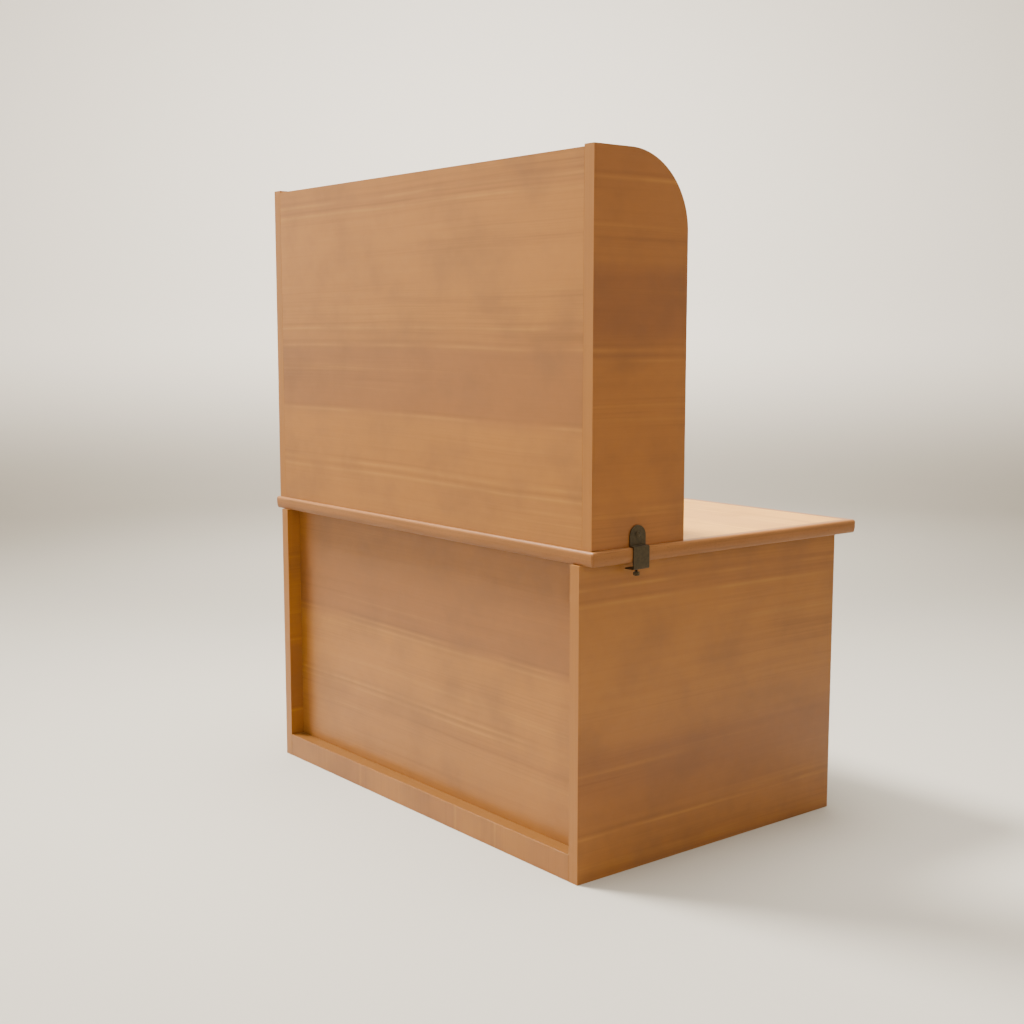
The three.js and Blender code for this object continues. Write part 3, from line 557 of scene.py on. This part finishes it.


# ---------- the boards: CAD shapes with fine arrises and veneer ----------

# For each board: the axes its grain runs along, across and through; its leaves of veneer as
# (upper edge, redness) in metres from low to high; the pale seams between them; a seed; and
# where they aren't plain, a tint, a gloss, how light the edge banding is, and whether both
# faces take the tint. A tint on the upper face only is painted light, and an edge banding
# made darker is painted shade.
BOARDS = {
    "screen_back": ("x", "z", "y", ((0.835, 0.20), (0.982, 0.10), (1.160, 0.85), (1.200, 0.35),
                                    (1.490, 0.0), (1.530, 0.35), (1.570, 0.15)),
                    (0.830, 0.852, 0.984, 1.152, 1.196, 1.486, 1.512), 2.0),
    "modesty_panel": ("x", "z", "y", ((0.245, 0.30), (0.430, 0.10), (0.610, 0.90), (0.710, 0.55)),
                      (0.246, 0.262, 0.424, 0.438), 11.0),
    "end_panel_left": ("y", "z", "x", ((0.096, 0.45), (0.180, 0.75), (0.290, 0.95), (0.360, 0.45),
                                       (0.610, 0.20), (0.662, 0.55), (0.710, 0.20)),
                       (0.098, 0.604, 0.640), 23.0),
    "end_panel_right": ("y", "z", "x", ((0.130, 0.40), (0.330, 0.75), (0.560, 0.20), (0.710, 0.45)),
                        (0.126, 0.330, 0.566), 37.0),
    "screen_wing_left": ("y", "z", "x", ((0.810, 0.30), (1.125, 0.12), (1.165, 0.50), (1.312, 0.85),
                                         (1.490, 0.30), (1.570, 0.45)),
                         (0.808, 1.120, 1.143, 1.326, 1.495), 41.0, (0.92, 0.86, 0.86)),
    "screen_wing_right": ("y", "z", "x", ((0.900, 0.40), (1.060, 0.80), (1.380, 0.15),
                                          (1.570, 0.50)),
                          (0.905, 1.064, 1.386), 53.0),
    # the plinth rail's edge level of 0.5 is painted shade: it darkens the rail's edges, whose top
    # strip lies in shade under the desktop
    "plinth_rail": ("z", "x", "y", ((-0.45, 0.55), (-0.20, 0.25), (-0.02, 0.70), (0.21, 0.35),
                                    (0.38, 0.75), (0.62, 0.40)),
                    (-0.33, -0.18, 0.06, 0.24, 0.47), 61.0, (1, 1, 1), 1.0, 0.5),
    # the desktop's tint takes only its upper face and is painted light: it brightens the top to
    # stand in for the strong light falling on it
    "desktop_panel": ("x", "y", "z", ((-0.28, 0.20), (-0.12, 0.55), (0.05, 0.10), (0.22, 0.40),
                                      (0.45, 0.20)),
                      (-0.27, -0.10, 0.06, 0.23), 71.0, (1.85, 2.17, 1.78), 0.35, 1.0, False),
    "screen_shelf": ("x", "y", "z", ((0.24, 0.30), (0.33, 0.60), (0.45, 0.20)), (0.25, 0.34), 83.0),
}


def clad(name, material, arris=BOARD_ARRIS):
    """A CAD board with its material and softened arrises."""
    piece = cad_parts[name]
    piece.data.materials.clear()
    piece.data.materials.append(material)
    return soften(piece, arris, weld=True)


def board_extent(name, axis):
    low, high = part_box(name)
    return low["xyz".index(axis)], high["xyz".index(axis)]


def add_boards():
    for name, (along, across, through, *figure) in BOARDS.items():
        extent = board_extent(name, across)
        clad(name, veneer(f"veneer_{name}", along, across, through, extent, *figure))


def add_battens():
    clad("top_cleat_rear", solid_wood("pine_along_x", "x", PINE_TONE, 4.0, satin=False), EDGE_ARRIS)
    across = solid_wood("pine_along_y", "y", PINE_TONE, 9.0, satin=False)
    for side, _ in SIDES:
        clad(f"top_cleat_{side}", across, EDGE_ARRIS)
    beech = solid_wood("beech_dowel", "x", BEECH_TONE, 14.0, satin=False)
    for side, _ in SIDES:
        clad(f"dowel_{side}_plinth", beech, EDGE_ARRIS)


# ---------- mouldings ----------


def lipping_profile(height):
    """(inset from the edge, height) from the top inner corner round to the bottom one."""
    radius, belly = LIPPING_TOP_RADIUS, LIPPING_BELLY_RADIUS
    sweep = math.degrees(math.asin((LIPPING_FLAT_END - LIPPING_BELLY_END) / belly))
    top = arc((radius, height - radius), radius, 90, 180, 12)
    lower = arc((belly, LIPPING_FLAT_END), belly, 180, 180 + sweep, 8)
    last = Vector(lower[-1])
    tangent = Vector((math.sin(math.radians(sweep)), -math.cos(math.radians(sweep))))
    corner = last + tangent * (last.y / -tangent.y)
    end = Vector((LIPPING_BOTTOM_INSET, 0))
    curve = []
    for k in range(1, 7):
        t = k / 6
        curve.append(tuple(last * (1 - t) ** 2 + corner * 2 * t * (1 - t) + end * t * t))
    return top + lower + curve


def mitred_moulding(name, profile, width, start, end, inward):
    """A moulding from corner start to corner end, mitred and rounded at both. inward points
    from the edge to the board."""
    along = (end - start).normalized()
    length = (end - start).length
    radius = LIPPING_CORNER_RADIUS
    stations = [(0, k) for k in range(5)] + [(1, k) for k in reversed(range(5))]
    outline = [(width, profile[0][1])] + profile + [(width, 0.0)]
    vertices = []
    for far, k in stations:
        turn = math.radians(45 * (4 - k) / 4)
        for inset, height in outline:
            spare = max(radius - inset, 0.0)
            reach = max(radius, inset) - spare * math.sin(turn) + MITRE_GAP
            depth = max(radius, inset) - spare * math.cos(turn) if spare else inset
            reach = length - reach if far else reach
            vertices.append(start + along * reach + inward * depth + Z * height)
    count = len(outline)
    faces = []
    for row in range(len(stations) - 1):
        for k in range(count):
            a, b = row * count + k, row * count + (k + 1) % count
            faces.append((a, b, b + count, a + count))
    faces.append(range(count))
    faces.append(range((len(stations) - 1) * count, len(stations) * count))
    return mesh_object(name, vertices, faces)


def add_lippings():
    low = Vector(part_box("desktop_lipping_left")[0])
    high = Vector(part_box("desktop_lipping_right")[1])
    low.y, high.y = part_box("desktop_lipping_front")[0].y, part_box("desktop_lipping_rear")[1].y
    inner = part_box("desktop_lipping_left")[1].x
    width = inner - low.x
    profile = lipping_profile(high.z - low.z)
    a, b = Vector((low.x, low.y, low.z)), Vector((high.x, low.y, low.z))
    c, d = Vector((high.x, high.y, low.z)), Vector((low.x, high.y, low.z))
    finishes = {axis: solid_wood(f"lipping_along_{axis}", axis, LIPPING_TONE, 5.0 + 3 * k)
                for k, axis in enumerate("xy")}
    for name, start, end, inward, axis in (("front", a, b, Y, "x"), ("right", b, c, -X, "y"),
                                           ("rear", c, d, -Y, "x"), ("left", d, a, X, "y")):
        piece = mitred_moulding(f"moulding_{name}", profile, width, start, end, inward)
        smooth(piece)
        finished(piece, "base", finishes[axis], "lipping", f"desktop_lipping_{name}")
    clad("shelf_lipping", finishes["x"], EDGE_ARRIS)


# ---------- fittings ----------


def cross_cutters(name, centre, axis, length, width, depth):
    """Two bars that cut a cross recess into a face at centre, turned outward along axis."""
    cutters = []
    for k, (a, b) in enumerate(((length, width), (width, length))):
        bar = block(f"{name}_cutter_{k}", (-a / 2, -b / 2, -depth), (a / 2, b / 2, depth))
        bar.data.transform(Matrix.Translation(centre) @ facing(axis).to_4x4())
        cutters.append(bar)
    return cutters


def add_cam(node_name, body, finish):
    """A cast cam with a chamfered rim, a dished face and a cross recess."""
    low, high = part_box(node_name)
    radius = (high.z - low.z) / 2
    centre = (low + high) / 2
    face = Vector((centre.x, low.y, centre.z))
    depth = high.y - low.y
    rows = [(radius, -depth), (radius, -0.6 * MM), (radius - 0.25 * MM, -0.15 * MM),
            (radius - 0.6 * MM, 0), (radius - 1.2 * MM, 0), (radius - 1.5 * MM, -0.35 * MM),
            (0.5 * MM, -0.35 * MM)]
    piece = lathe(f"fitting_{node_name}", rows, face, -Y)
    cut(piece, *cross_cutters(node_name, face, -Y, CAM_RECESS_LENGTH, CAM_RECESS_WIDTH,
                              CAM_RECESS_DEPTH))
    smooth(piece)
    finished(piece, body, finish, "zinc", node_name)


def add_peg(node_name, finish):
    """A turned shelf peg with a rounded nose and a collar against the wing."""
    low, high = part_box(node_name)
    side = -1 if low.x < 0 else 1
    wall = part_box(f"screen_wing_{'left' if side < 0 else 'right'}")[side < 0].x
    centre = (low + high) / 2
    radius = (high.z - low.z) / 2
    rest = abs((high.x if side < 0 else low.x) - wall)
    pin = abs((low.x if side < 0 else high.x) - wall)
    rows = [(0.4 * radius, -rest), (0.85 * radius, -rest + 0.2 * MM), (radius, -rest + 0.9 * MM),
            (radius, -2.2 * MM), (0.86 * radius, -1.9 * MM), (0.86 * radius, -1.6 * MM),
            (radius, -1.3 * MM), (radius, -0.5 * MM), (0.94 * radius, -0.3 * MM),
            (PEG_PIN_RADIUS, -0.3 * MM), (PEG_PIN_RADIUS, pin - 0.6 * MM), (PEG_TIP_RADIUS, pin)]
    piece = lathe(f"fitting_{node_name}", rows, (wall, centre.y, centre.z), X * side, 32)
    finished(smooth(piece), "screen", finish, "zinc", node_name)


def add_fittings(finish):
    for side, _ in SIDES:
        for level in LEVELS:
            add_cam(f"base_cam_{side}_{level}", "base", finish)
            add_cam(f"screen_cam_{side}_{level}", "screen", finish)
            for owner in ("base", "screen"):
                clad(f"{owner}_cam_bolt_{side}_{level}", finish, CAM_BOLT_ARRIS)
        for row in ("front", "rear"):
            add_peg(f"shelf_peg_{side}_{row}", finish)


def screw_head(name, centre, axis, radius):
    """A countersunk head that stands a hair proud, with a cross recess."""
    rows = [(0.55 * radius, -1.2 * MM), (radius, -0.05 * MM), (radius, 0.12 * MM),
            (0.92 * radius, 0.22 * MM), (0.4 * radius, 0.28 * MM)]
    piece = lathe(name, rows, centre, axis, 32)
    return cut(piece, *cross_cutters(name, Vector(centre), axis, 1.2 * radius, 0.22 * radius,
                                     CLEAT_SCREW_RECESS_DEPTH))


def add_cleat_screws(finish):
    """The screws that pull each cleat to the desktop, set in the cleat's underside."""
    for name in ("top_cleat_left", "top_cleat_right", "top_cleat_rear"):
        low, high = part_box(name)
        middle = (low + high) / 2
        size = high - low
        axis = 0 if size.x > size.y else 1
        count = max(2, round(size[axis] / CLEAT_SCREW_PITCH))
        for k in range(count):
            spot = Vector((middle.x, middle.y, low.z))
            spot[axis] = low[axis] + size[axis] * (k + 0.5) / count
            head = smooth(screw_head(f"screw_{name}_{k + 1}", spot, -Z, CLEAT_SCREW_RADIUS))
            finished(head, "base", finish, "zinc")


# ---------- clamps ----------


def rounded_path(corners, radius, steps=8):
    """Points and tangents along a polyline whose inner corners are turned to arcs."""
    path = []
    last = len(corners) - 1
    for k, corner in enumerate(corners):
        here = Vector(corner)
        if k in (0, last):
            other = Vector(corners[1] if k == 0 else corners[last - 1])
            direction = (other - here).normalized() * (1 if k == 0 else -1)
            path.append((here, direction))
            continue
        back = (here - Vector(corners[k - 1])).normalized()
        ahead = (Vector(corners[k + 1]) - here).normalized()
        centre = here + (ahead - back) * radius
        for i in range(steps + 1):
            turn = math.radians(90 * i / steps)
            place = centre - ahead * radius * math.cos(turn) + back * radius * math.sin(turn)
            path.append((place, back * math.cos(turn) + ahead * math.sin(turn)))
    return path


def bracket(side, name):
    """The clamp's strip: up the wing, out over the edge, down it and back underneath."""
    low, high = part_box(f"clamp_bracket_{name}")
    wing_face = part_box(f"screen_wing_{name}")[side > 0].x
    desk_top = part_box("desktop_panel")[1].z
    half = CLAMP_PLATE / 2
    out = abs(wing_face) + CLAMP_GAP + half
    edge = max(abs(low.x), abs(high.x)) - half
    tip = min(abs(low.x), abs(high.x))
    step, flange = desk_top + CLAMP_GAP + half, low.z + half
    corners = [(out, high.z), (out, step), (edge, step), (edge, flange), (tip, flange)]
    width = (high.y - low.y) / 2
    track = rounded_path(corners, CLAMP_BEND)
    start, second = track[0][0], track[1][0]
    first_leg = (start - second).length
    dome = []
    for k in range(CLAMP_DOME_STEPS):
        turn = math.radians(90 * k / CLAMP_DOME_STEPS)
        dome.append((start.lerp(second, width * (1 - math.cos(turn)) / first_leg),
                     track[0][1], max(width * math.sin(turn), 0.02 * width)))
    stations = dome + [(start.lerp(second, width / first_leg), track[0][1], width)]
    stations += [(place, direction, width) for place, direction in track[1:]]
    middle = (low.y + high.y) / 2
    columns = CLAMP_COLUMNS
    vertices, faces = [], []
    for sheet in (-1, 1):
        for place, direction, reach in stations:
            normal = Vector((direction.y, -direction.x)) * half * sheet
            for k in range(columns + 1):
                across = middle + reach * (2 * k / columns - 1)
                vertices.append(((place.x + normal.x) * side, across, place.y + normal.y))
    row, rows = columns + 1, len(stations)
    layer = row * rows
    for i in range(rows - 1):
        for k in range(columns):
            a = i * row + k
            faces.append((a, a + 1, a + 1 + row, a + row))
            faces.append((layer + a, layer + a + 1, layer + a + 1 + row, layer + a + row))
        for k in (0, columns):
            a = i * row + k
            faces.append((a, a + row, layer + a + row, layer + a))
    for i in (0, rows - 1):
        for k in range(columns):
            a = i * row + k
            faces.append((a, a + 1, layer + a + 1, layer + a))
    piece = mesh_object(f"bracket_{name}", vertices, faces)
    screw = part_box(f"clamp_screw_{name}")
    axis = (screw[0] + screw[1]) / 2
    bore = CLAMP_SCREW_RADIUS + CLAMP_GAP
    hole = lathe(f"hole_{name}", [(bore, -5 * MM), (bore, 5 * MM)], (axis.x, axis.y, flange), Z, 32)
    return soften(cut(piece, hole), METAL_ARRIS)


def clamp_screw(name):
    """Knurled head, neck, threaded shank and spigot in one turned piece."""
    low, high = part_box(f"clamp_screw_{name}")
    centre = (low + high) / 2

    def knurled(radius):
        def reach(angle):
            return radius - KNURL_DEPTH * (0.5 + 0.5 * math.cos(KNURLS * angle)) ** 2
        return reach

    top = high.z - low.z
    neck = KNOB_HEIGHT + CLAMP_NECK
    neck_radius = CLAMP_SCREW_RADIUS - 0.5 * MM
    shank = top - SPIGOT_HEIGHT
    grip = (0.8 * MM, 2.2 * MM, KNOB_HEIGHT - 2.2 * MM, KNOB_HEIGHT - 0.8 * MM)
    rows = [(KNOB_RADIUS - 2.6 * MM, 0.35 * MM), (KNOB_RADIUS - 2.2 * MM, 0),
            (KNOB_RADIUS - 1.1 * MM, 0), (KNOB_RADIUS - 0.75 * MM, 0.3 * MM)]
    rows += [(knurled(KNOB_RADIUS), height) for height in grip]
    rows += [(KNOB_RADIUS - 0.75 * MM, KNOB_HEIGHT - 0.3 * MM),
             (KNOB_RADIUS - 1.1 * MM, KNOB_HEIGHT), (CLAMP_SCREW_RADIUS + 0.8 * MM, KNOB_HEIGHT),
             (neck_radius, KNOB_HEIGHT + 0.4 * MM), (neck_radius, neck)]
    rows += thread_rows(CLAMP_SCREW_RADIUS, CLAMP_PITCH, neck + 0.1 * MM, shank - 0.1 * MM)
    rows += [(SPIGOT_RADIUS, shank), (SPIGOT_RADIUS, top - 0.2 * MM),
             (SPIGOT_RADIUS - 0.2 * MM, top)]
    return lathe(f"thumbscrew_{name}", rows, (centre.x, centre.y, low.z), Z, 4 * KNURLS)


def clamp_pad(name):
    """The swivel pad: a shallow cup with a rolled rim and a ring pressed in its top."""
    low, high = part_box(f"clamp_pad_{name}")
    centre = (low + high) / 2
    radius, height = (high.y - low.y) / 2, high.z - low.z
    socket = SPIGOT_RADIUS + 0.3 * MM
    rows = [(0.2 * MM, SPIGOT_HEIGHT), (socket, SPIGOT_HEIGHT), (socket, 0.15 * MM),
            (socket + 0.2 * MM, 0), (0.62 * radius, 0), (0.72 * radius, 0.8 * MM),
            (radius - 0.5 * MM, 1.0 * MM),
            (radius - 0.12 * MM, 1.25 * MM), (radius, 1.6 * MM), (radius, height - 0.5 * MM),
            (radius - 0.2 * MM, height - 0.1 * MM), (radius - 0.6 * MM, height),
            (0.5 * radius, height), (0.5 * radius - 0.3 * MM, height - 0.3 * MM),
            (0.3 * MM, height - 0.3 * MM)]
    return lathe(f"swivel_pad_{name}", rows, (centre.x, centre.y, low.z), Z, 64)


def tab_screw(name, side):
    """A slotted round head with a short stretch of shank behind it."""
    low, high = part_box(f"clamp_tab_screw_{name}")
    centre = (low + high) / 2
    radius = (high.z - low.z) / 2
    wing_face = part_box(f"screen_wing_{name}")[side > 0].x
    face = abs(wing_face) + TAB_HEAD_STANDOFF + CLAMP_PLATE
    rise = max(abs(low.x), abs(high.x)) - face
    crown = 0.6 * rise
    sphere = (radius ** 2 + crown ** 2) / (2 * crown)
    reach = math.degrees(math.asin(radius / sphere))
    dome = [(x, y - sphere + rise) for x, y in arc((0, 0), sphere, 90 - reach, 89.0, 10)]
    shank = face - min(abs(low.x), abs(high.x))
    rows = [(0.4 * MM, -shank), (TAB_SHANK_RADIUS, -shank + 4 * MM),
            (TAB_SHANK_RADIUS, -0.02 * MM), (radius - 0.4 * MM, 0), (radius, 0.3 * MM)]
    place = (face * side, centre.y, centre.z)
    piece = lathe(f"round_head_{name}", rows + dome, place, X * side, 48)
    slot = block(f"slot_{name}", (-TAB_SLOT_WIDTH / 2, -2 * radius, rise - TAB_SLOT_DEPTH),
                 (TAB_SLOT_WIDTH / 2, 2 * radius, rise + MM))
    tilt = Matrix.Rotation(TAB_SLOT_TILT, 4, "X")
    slot.data.transform(Matrix.Translation(place) @ tilt @ facing(X * side).to_4x4())
    return soften(cut(piece, slot), TAB_ARRIS)


def add_clamps(finish):
    for name, side in SIDES:
        finished(bracket(side, name), "screen", finish, "bronze", f"clamp_bracket_{name}")
        finished(tab_screw(name, side), "screen", finish, "bronze", f"clamp_tab_screw_{name}")
        screw, pad = f"clamp_screw_{name}", f"clamp_pad_{name}"
        finished(smooth(clamp_screw(name)), screw, finish, "bronze", screw)
        finished(smooth(clamp_pad(name)), pad, finish, "bronze", pad)


# ---------- levelling feet ----------


def foot_stem(name):
    """A hexagonal collar, chamfered above and below, and a threaded stem."""
    low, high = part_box(f"foot_stem_{name}")
    centre = (low + high) / 2
    corner = max(high.x - low.x, high.y - low.y) / 2

    def hexagon(radius):
        def reach(angle):
            flat = corner * math.cos(math.radians(30))
            return min(radius, flat / math.cos((angle + math.pi / 6) % (math.pi / 3) - math.pi / 6))
        return reach

    face = FOOT_COLLAR_FACE * corner
    rows = [(face, 0), (hexagon(corner), 0.5 * MM),
            (hexagon(corner), FOOT_COLLAR_HEIGHT - 0.5 * MM), (face, FOOT_COLLAR_HEIGHT),
            (FOOT_STEM_RADIUS - 0.5 * MM, FOOT_COLLAR_HEIGHT)]
    rows += thread_rows(FOOT_STEM_RADIUS, FOOT_PITCH, FOOT_COLLAR_HEIGHT + 0.4 * MM, high.z - low.z)
    return lathe(f"stem_{name}", rows, (centre.x, centre.y, low.z), Z, 48)


def foot_pad(name):
    """A nylon glide with a domed foot, a grip ring and a dished top."""
    low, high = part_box(f"foot_pad_{name}")
    centre = (low + high) / 2
    radius, height = (high.x - low.x) / 2, high.z - low.z
    rows = [(0.4 * radius, 0.12 * MM), (radius - 2.2 * MM, 0), (radius - 1.2 * MM, 0.15 * MM),
            (radius - 0.4 * MM, 0.6 * MM), (radius, 1.4 * MM), (radius, height - 1.6 * MM),
            (radius - 0.35 * MM, height - 1.4 * MM), (radius - 0.35 * MM, height - 1.0 * MM),
            (radius, height - 0.8 * MM), (radius - 0.1 * MM, height - 0.2 * MM),
            (radius - 0.5 * MM, height), (0.78 * radius, height),
            (0.74 * radius, height - 0.5 * MM), (0.4 * MM, height - 0.5 * MM)]
    return lathe(f"glide_{name}", rows, (centre.x, centre.y, low.z), Z, 64)


def add_feet(metal, plastic):
    for name in FEET:
        finished(smooth(foot_stem(name)), f"foot_stem_{name}", metal, "zinc", f"foot_stem_{name}")
        finished(smooth(foot_pad(name)), f"foot_pad_{name}", plastic, "nylon", f"foot_pad_{name}")
        clad(f"foot_insert_{name}", metal, FOOT_INSERT_ARRIS)


# ---------- studio ----------

# lengths in metres, angles in degrees, powers in watts
LENS, SENSOR = 50.0, 36.0
EYE_DISTANCE, EYE_AZIMUTH, EYE_HEIGHT = 3.7014, 230.09, 1.186
VIEW_AZIMUTH, VIEW_DROP = 231.484, 7.232
MIDDLE = Vector((0, 0, 0.8))  # of the carrel, where the lights point
FLOOR_PAINT, WALL_PAINT = (0.370, 0.345, 0.300), (0.750, 0.715, 0.650)
WALL_GLOW, WALL_GLOW_LEVEL = (1.0, 0.90, 0.76), 0.40
STUDIO_RADIUS, COVE_RADIUS, WALL_HEIGHT = 8.0, 1.6, 4.2
KEY_POWER, TOP_POWER, BACKDROP_POWER, SIDE_POWER, FILL_POWER = 485, 215, 350, 270, 43
AIR_STRENGTH = 0.46
AIR_COLOUR, KEY_COLOUR, TOP_COLOUR = (1.0, 0.86, 0.66), (1.0, 0.97, 0.90), (1.0, 0.97, 0.92)
FILL_COLOUR, WALL_LIGHT_COLOUR = (1.0, 0.84, 0.64), (1.0, 0.96, 0.90)


def around(azimuth, elevation, distance, centre=MIDDLE):
    """A place round the object. Azimuth 0 is the reader's side and 90 the right."""
    a, e = math.radians(azimuth), math.radians(elevation)
    way = Vector((math.sin(a) * math.cos(e), -math.cos(a) * math.cos(e), math.sin(e)))
    return centre + way * distance


def add_camera():
    data = bpy.data.cameras.new("camera")
    data.lens = LENS
    data.sensor_width = SENSOR
    camera = bpy.data.objects.new("camera", data)
    place = around(EYE_AZIMUTH, 0, EYE_DISTANCE)
    camera.location = (place.x, place.y, EYE_HEIGHT)
    camera.rotation_euler = (math.radians(90 - VIEW_DROP), 0, math.radians(VIEW_AZIMUTH))
    bpy.context.scene.collection.objects.link(camera)
    bpy.context.scene.camera = camera


def add_light(name, azimuth, elevation, distance, size, power, colour, spread, target=MIDDLE):
    """A round area light. spread is its cone in degrees."""
    data = bpy.data.lights.new(name, "AREA")
    data.spread = math.radians(spread)
    data.shape = "DISK"
    data.size = size
    data.energy = power
    data.color = colour
    light = bpy.data.objects.new(name, data)
    light.location = around(azimuth, elevation, distance)
    toward = target - light.location
    light.rotation_mode = "QUATERNION"
    light.rotation_quaternion = toward.to_track_quat("-Z", "Y")
    bpy.context.scene.collection.objects.link(light)


def studio_finish():
    """Matt paint, paler and faintly glowing up the wall."""
    material, tree, shader = new_material("studio_paint")
    rise = rescaled(tree, object_axes(tree)["z"], 0.05, 1.2)
    tree.links.new(blend(tree, rise, FLOOR_PAINT, WALL_PAINT), shader.inputs["Base Color"])
    shader.inputs["Roughness"].default_value = 0.85
    shader.inputs["Emission Color"].default_value = (*WALL_GLOW, 1.0)
    glow = calc(tree, "MULTIPLY", rise, WALL_GLOW_LEVEL)
    tree.links.new(glow, shader.inputs["Emission Strength"])
    return material


def add_studio():
    """A round pale floor that sweeps up into a wall. The soft key light stands high behind the
    reader's right, and two lights wash the wall that the camera faces."""
    cove = [(STUDIO_RADIUS - COVE_RADIUS + x, COVE_RADIUS + y)
            for x, y in arc((0, 0), COVE_RADIUS, -90, 0, 12)]
    profile = [(0.0, 0.0)] + cove + [(STUDIO_RADIUS, WALL_HEIGHT)]
    steps = 96
    vertices = [(r * math.cos(math.tau * k / steps), r * math.sin(math.tau * k / steps), z)
                for r, z in profile for k in range(steps)]
    faces = [(i * steps + k, i * steps + (k + 1) % steps, (i + 1) * steps + (k + 1) % steps,
              (i + 1) * steps + k) for i in range(len(profile) - 1) for k in range(steps)]
    floor = mesh_object("studio_floor", vertices, faces)
    floor.data.shade_smooth()
    floor.data.materials.append(studio_finish())
    add_light("key", 121, 58, 9.0, 2.6, KEY_POWER, KEY_COLOUR, 70)
    add_light("top", 0, 90, 5.0, 3.5, TOP_POWER, TOP_COLOUR, 90)
    add_light("fill", 235, 26, 6.0, 3.5, FILL_POWER, FILL_COLOUR, 120)
    for name, azimuth, power in (("backdrop", 54, BACKDROP_POWER), ("side_wall", 135, SIDE_POWER)):
        add_light(name, azimuth, 50, 4.2, 3.0, power, WALL_LIGHT_COLOUR, 120,
                  around(azimuth, 0, STUDIO_RADIUS))
    world = bpy.data.worlds.new("studio_air")
    world.use_nodes = True
    sky = world.node_tree.nodes["Background"]
    sky.inputs["Color"].default_value = (*AIR_COLOUR, 1.0)
    sky.inputs["Strength"].default_value = AIR_STRENGTH
    bpy.context.scene.world = world
    bpy.context.scene.view_settings.view_transform = "AgX"


# ---------- the carrel ----------

add_camera()
add_studio()
add_boards()
add_battens()
add_lippings()
zinc_plate = zinc()
add_fittings(zinc_plate)
add_cleat_screws(zinc_plate)
add_clamps(bronze())
add_feet(zinc_plate, nylon())
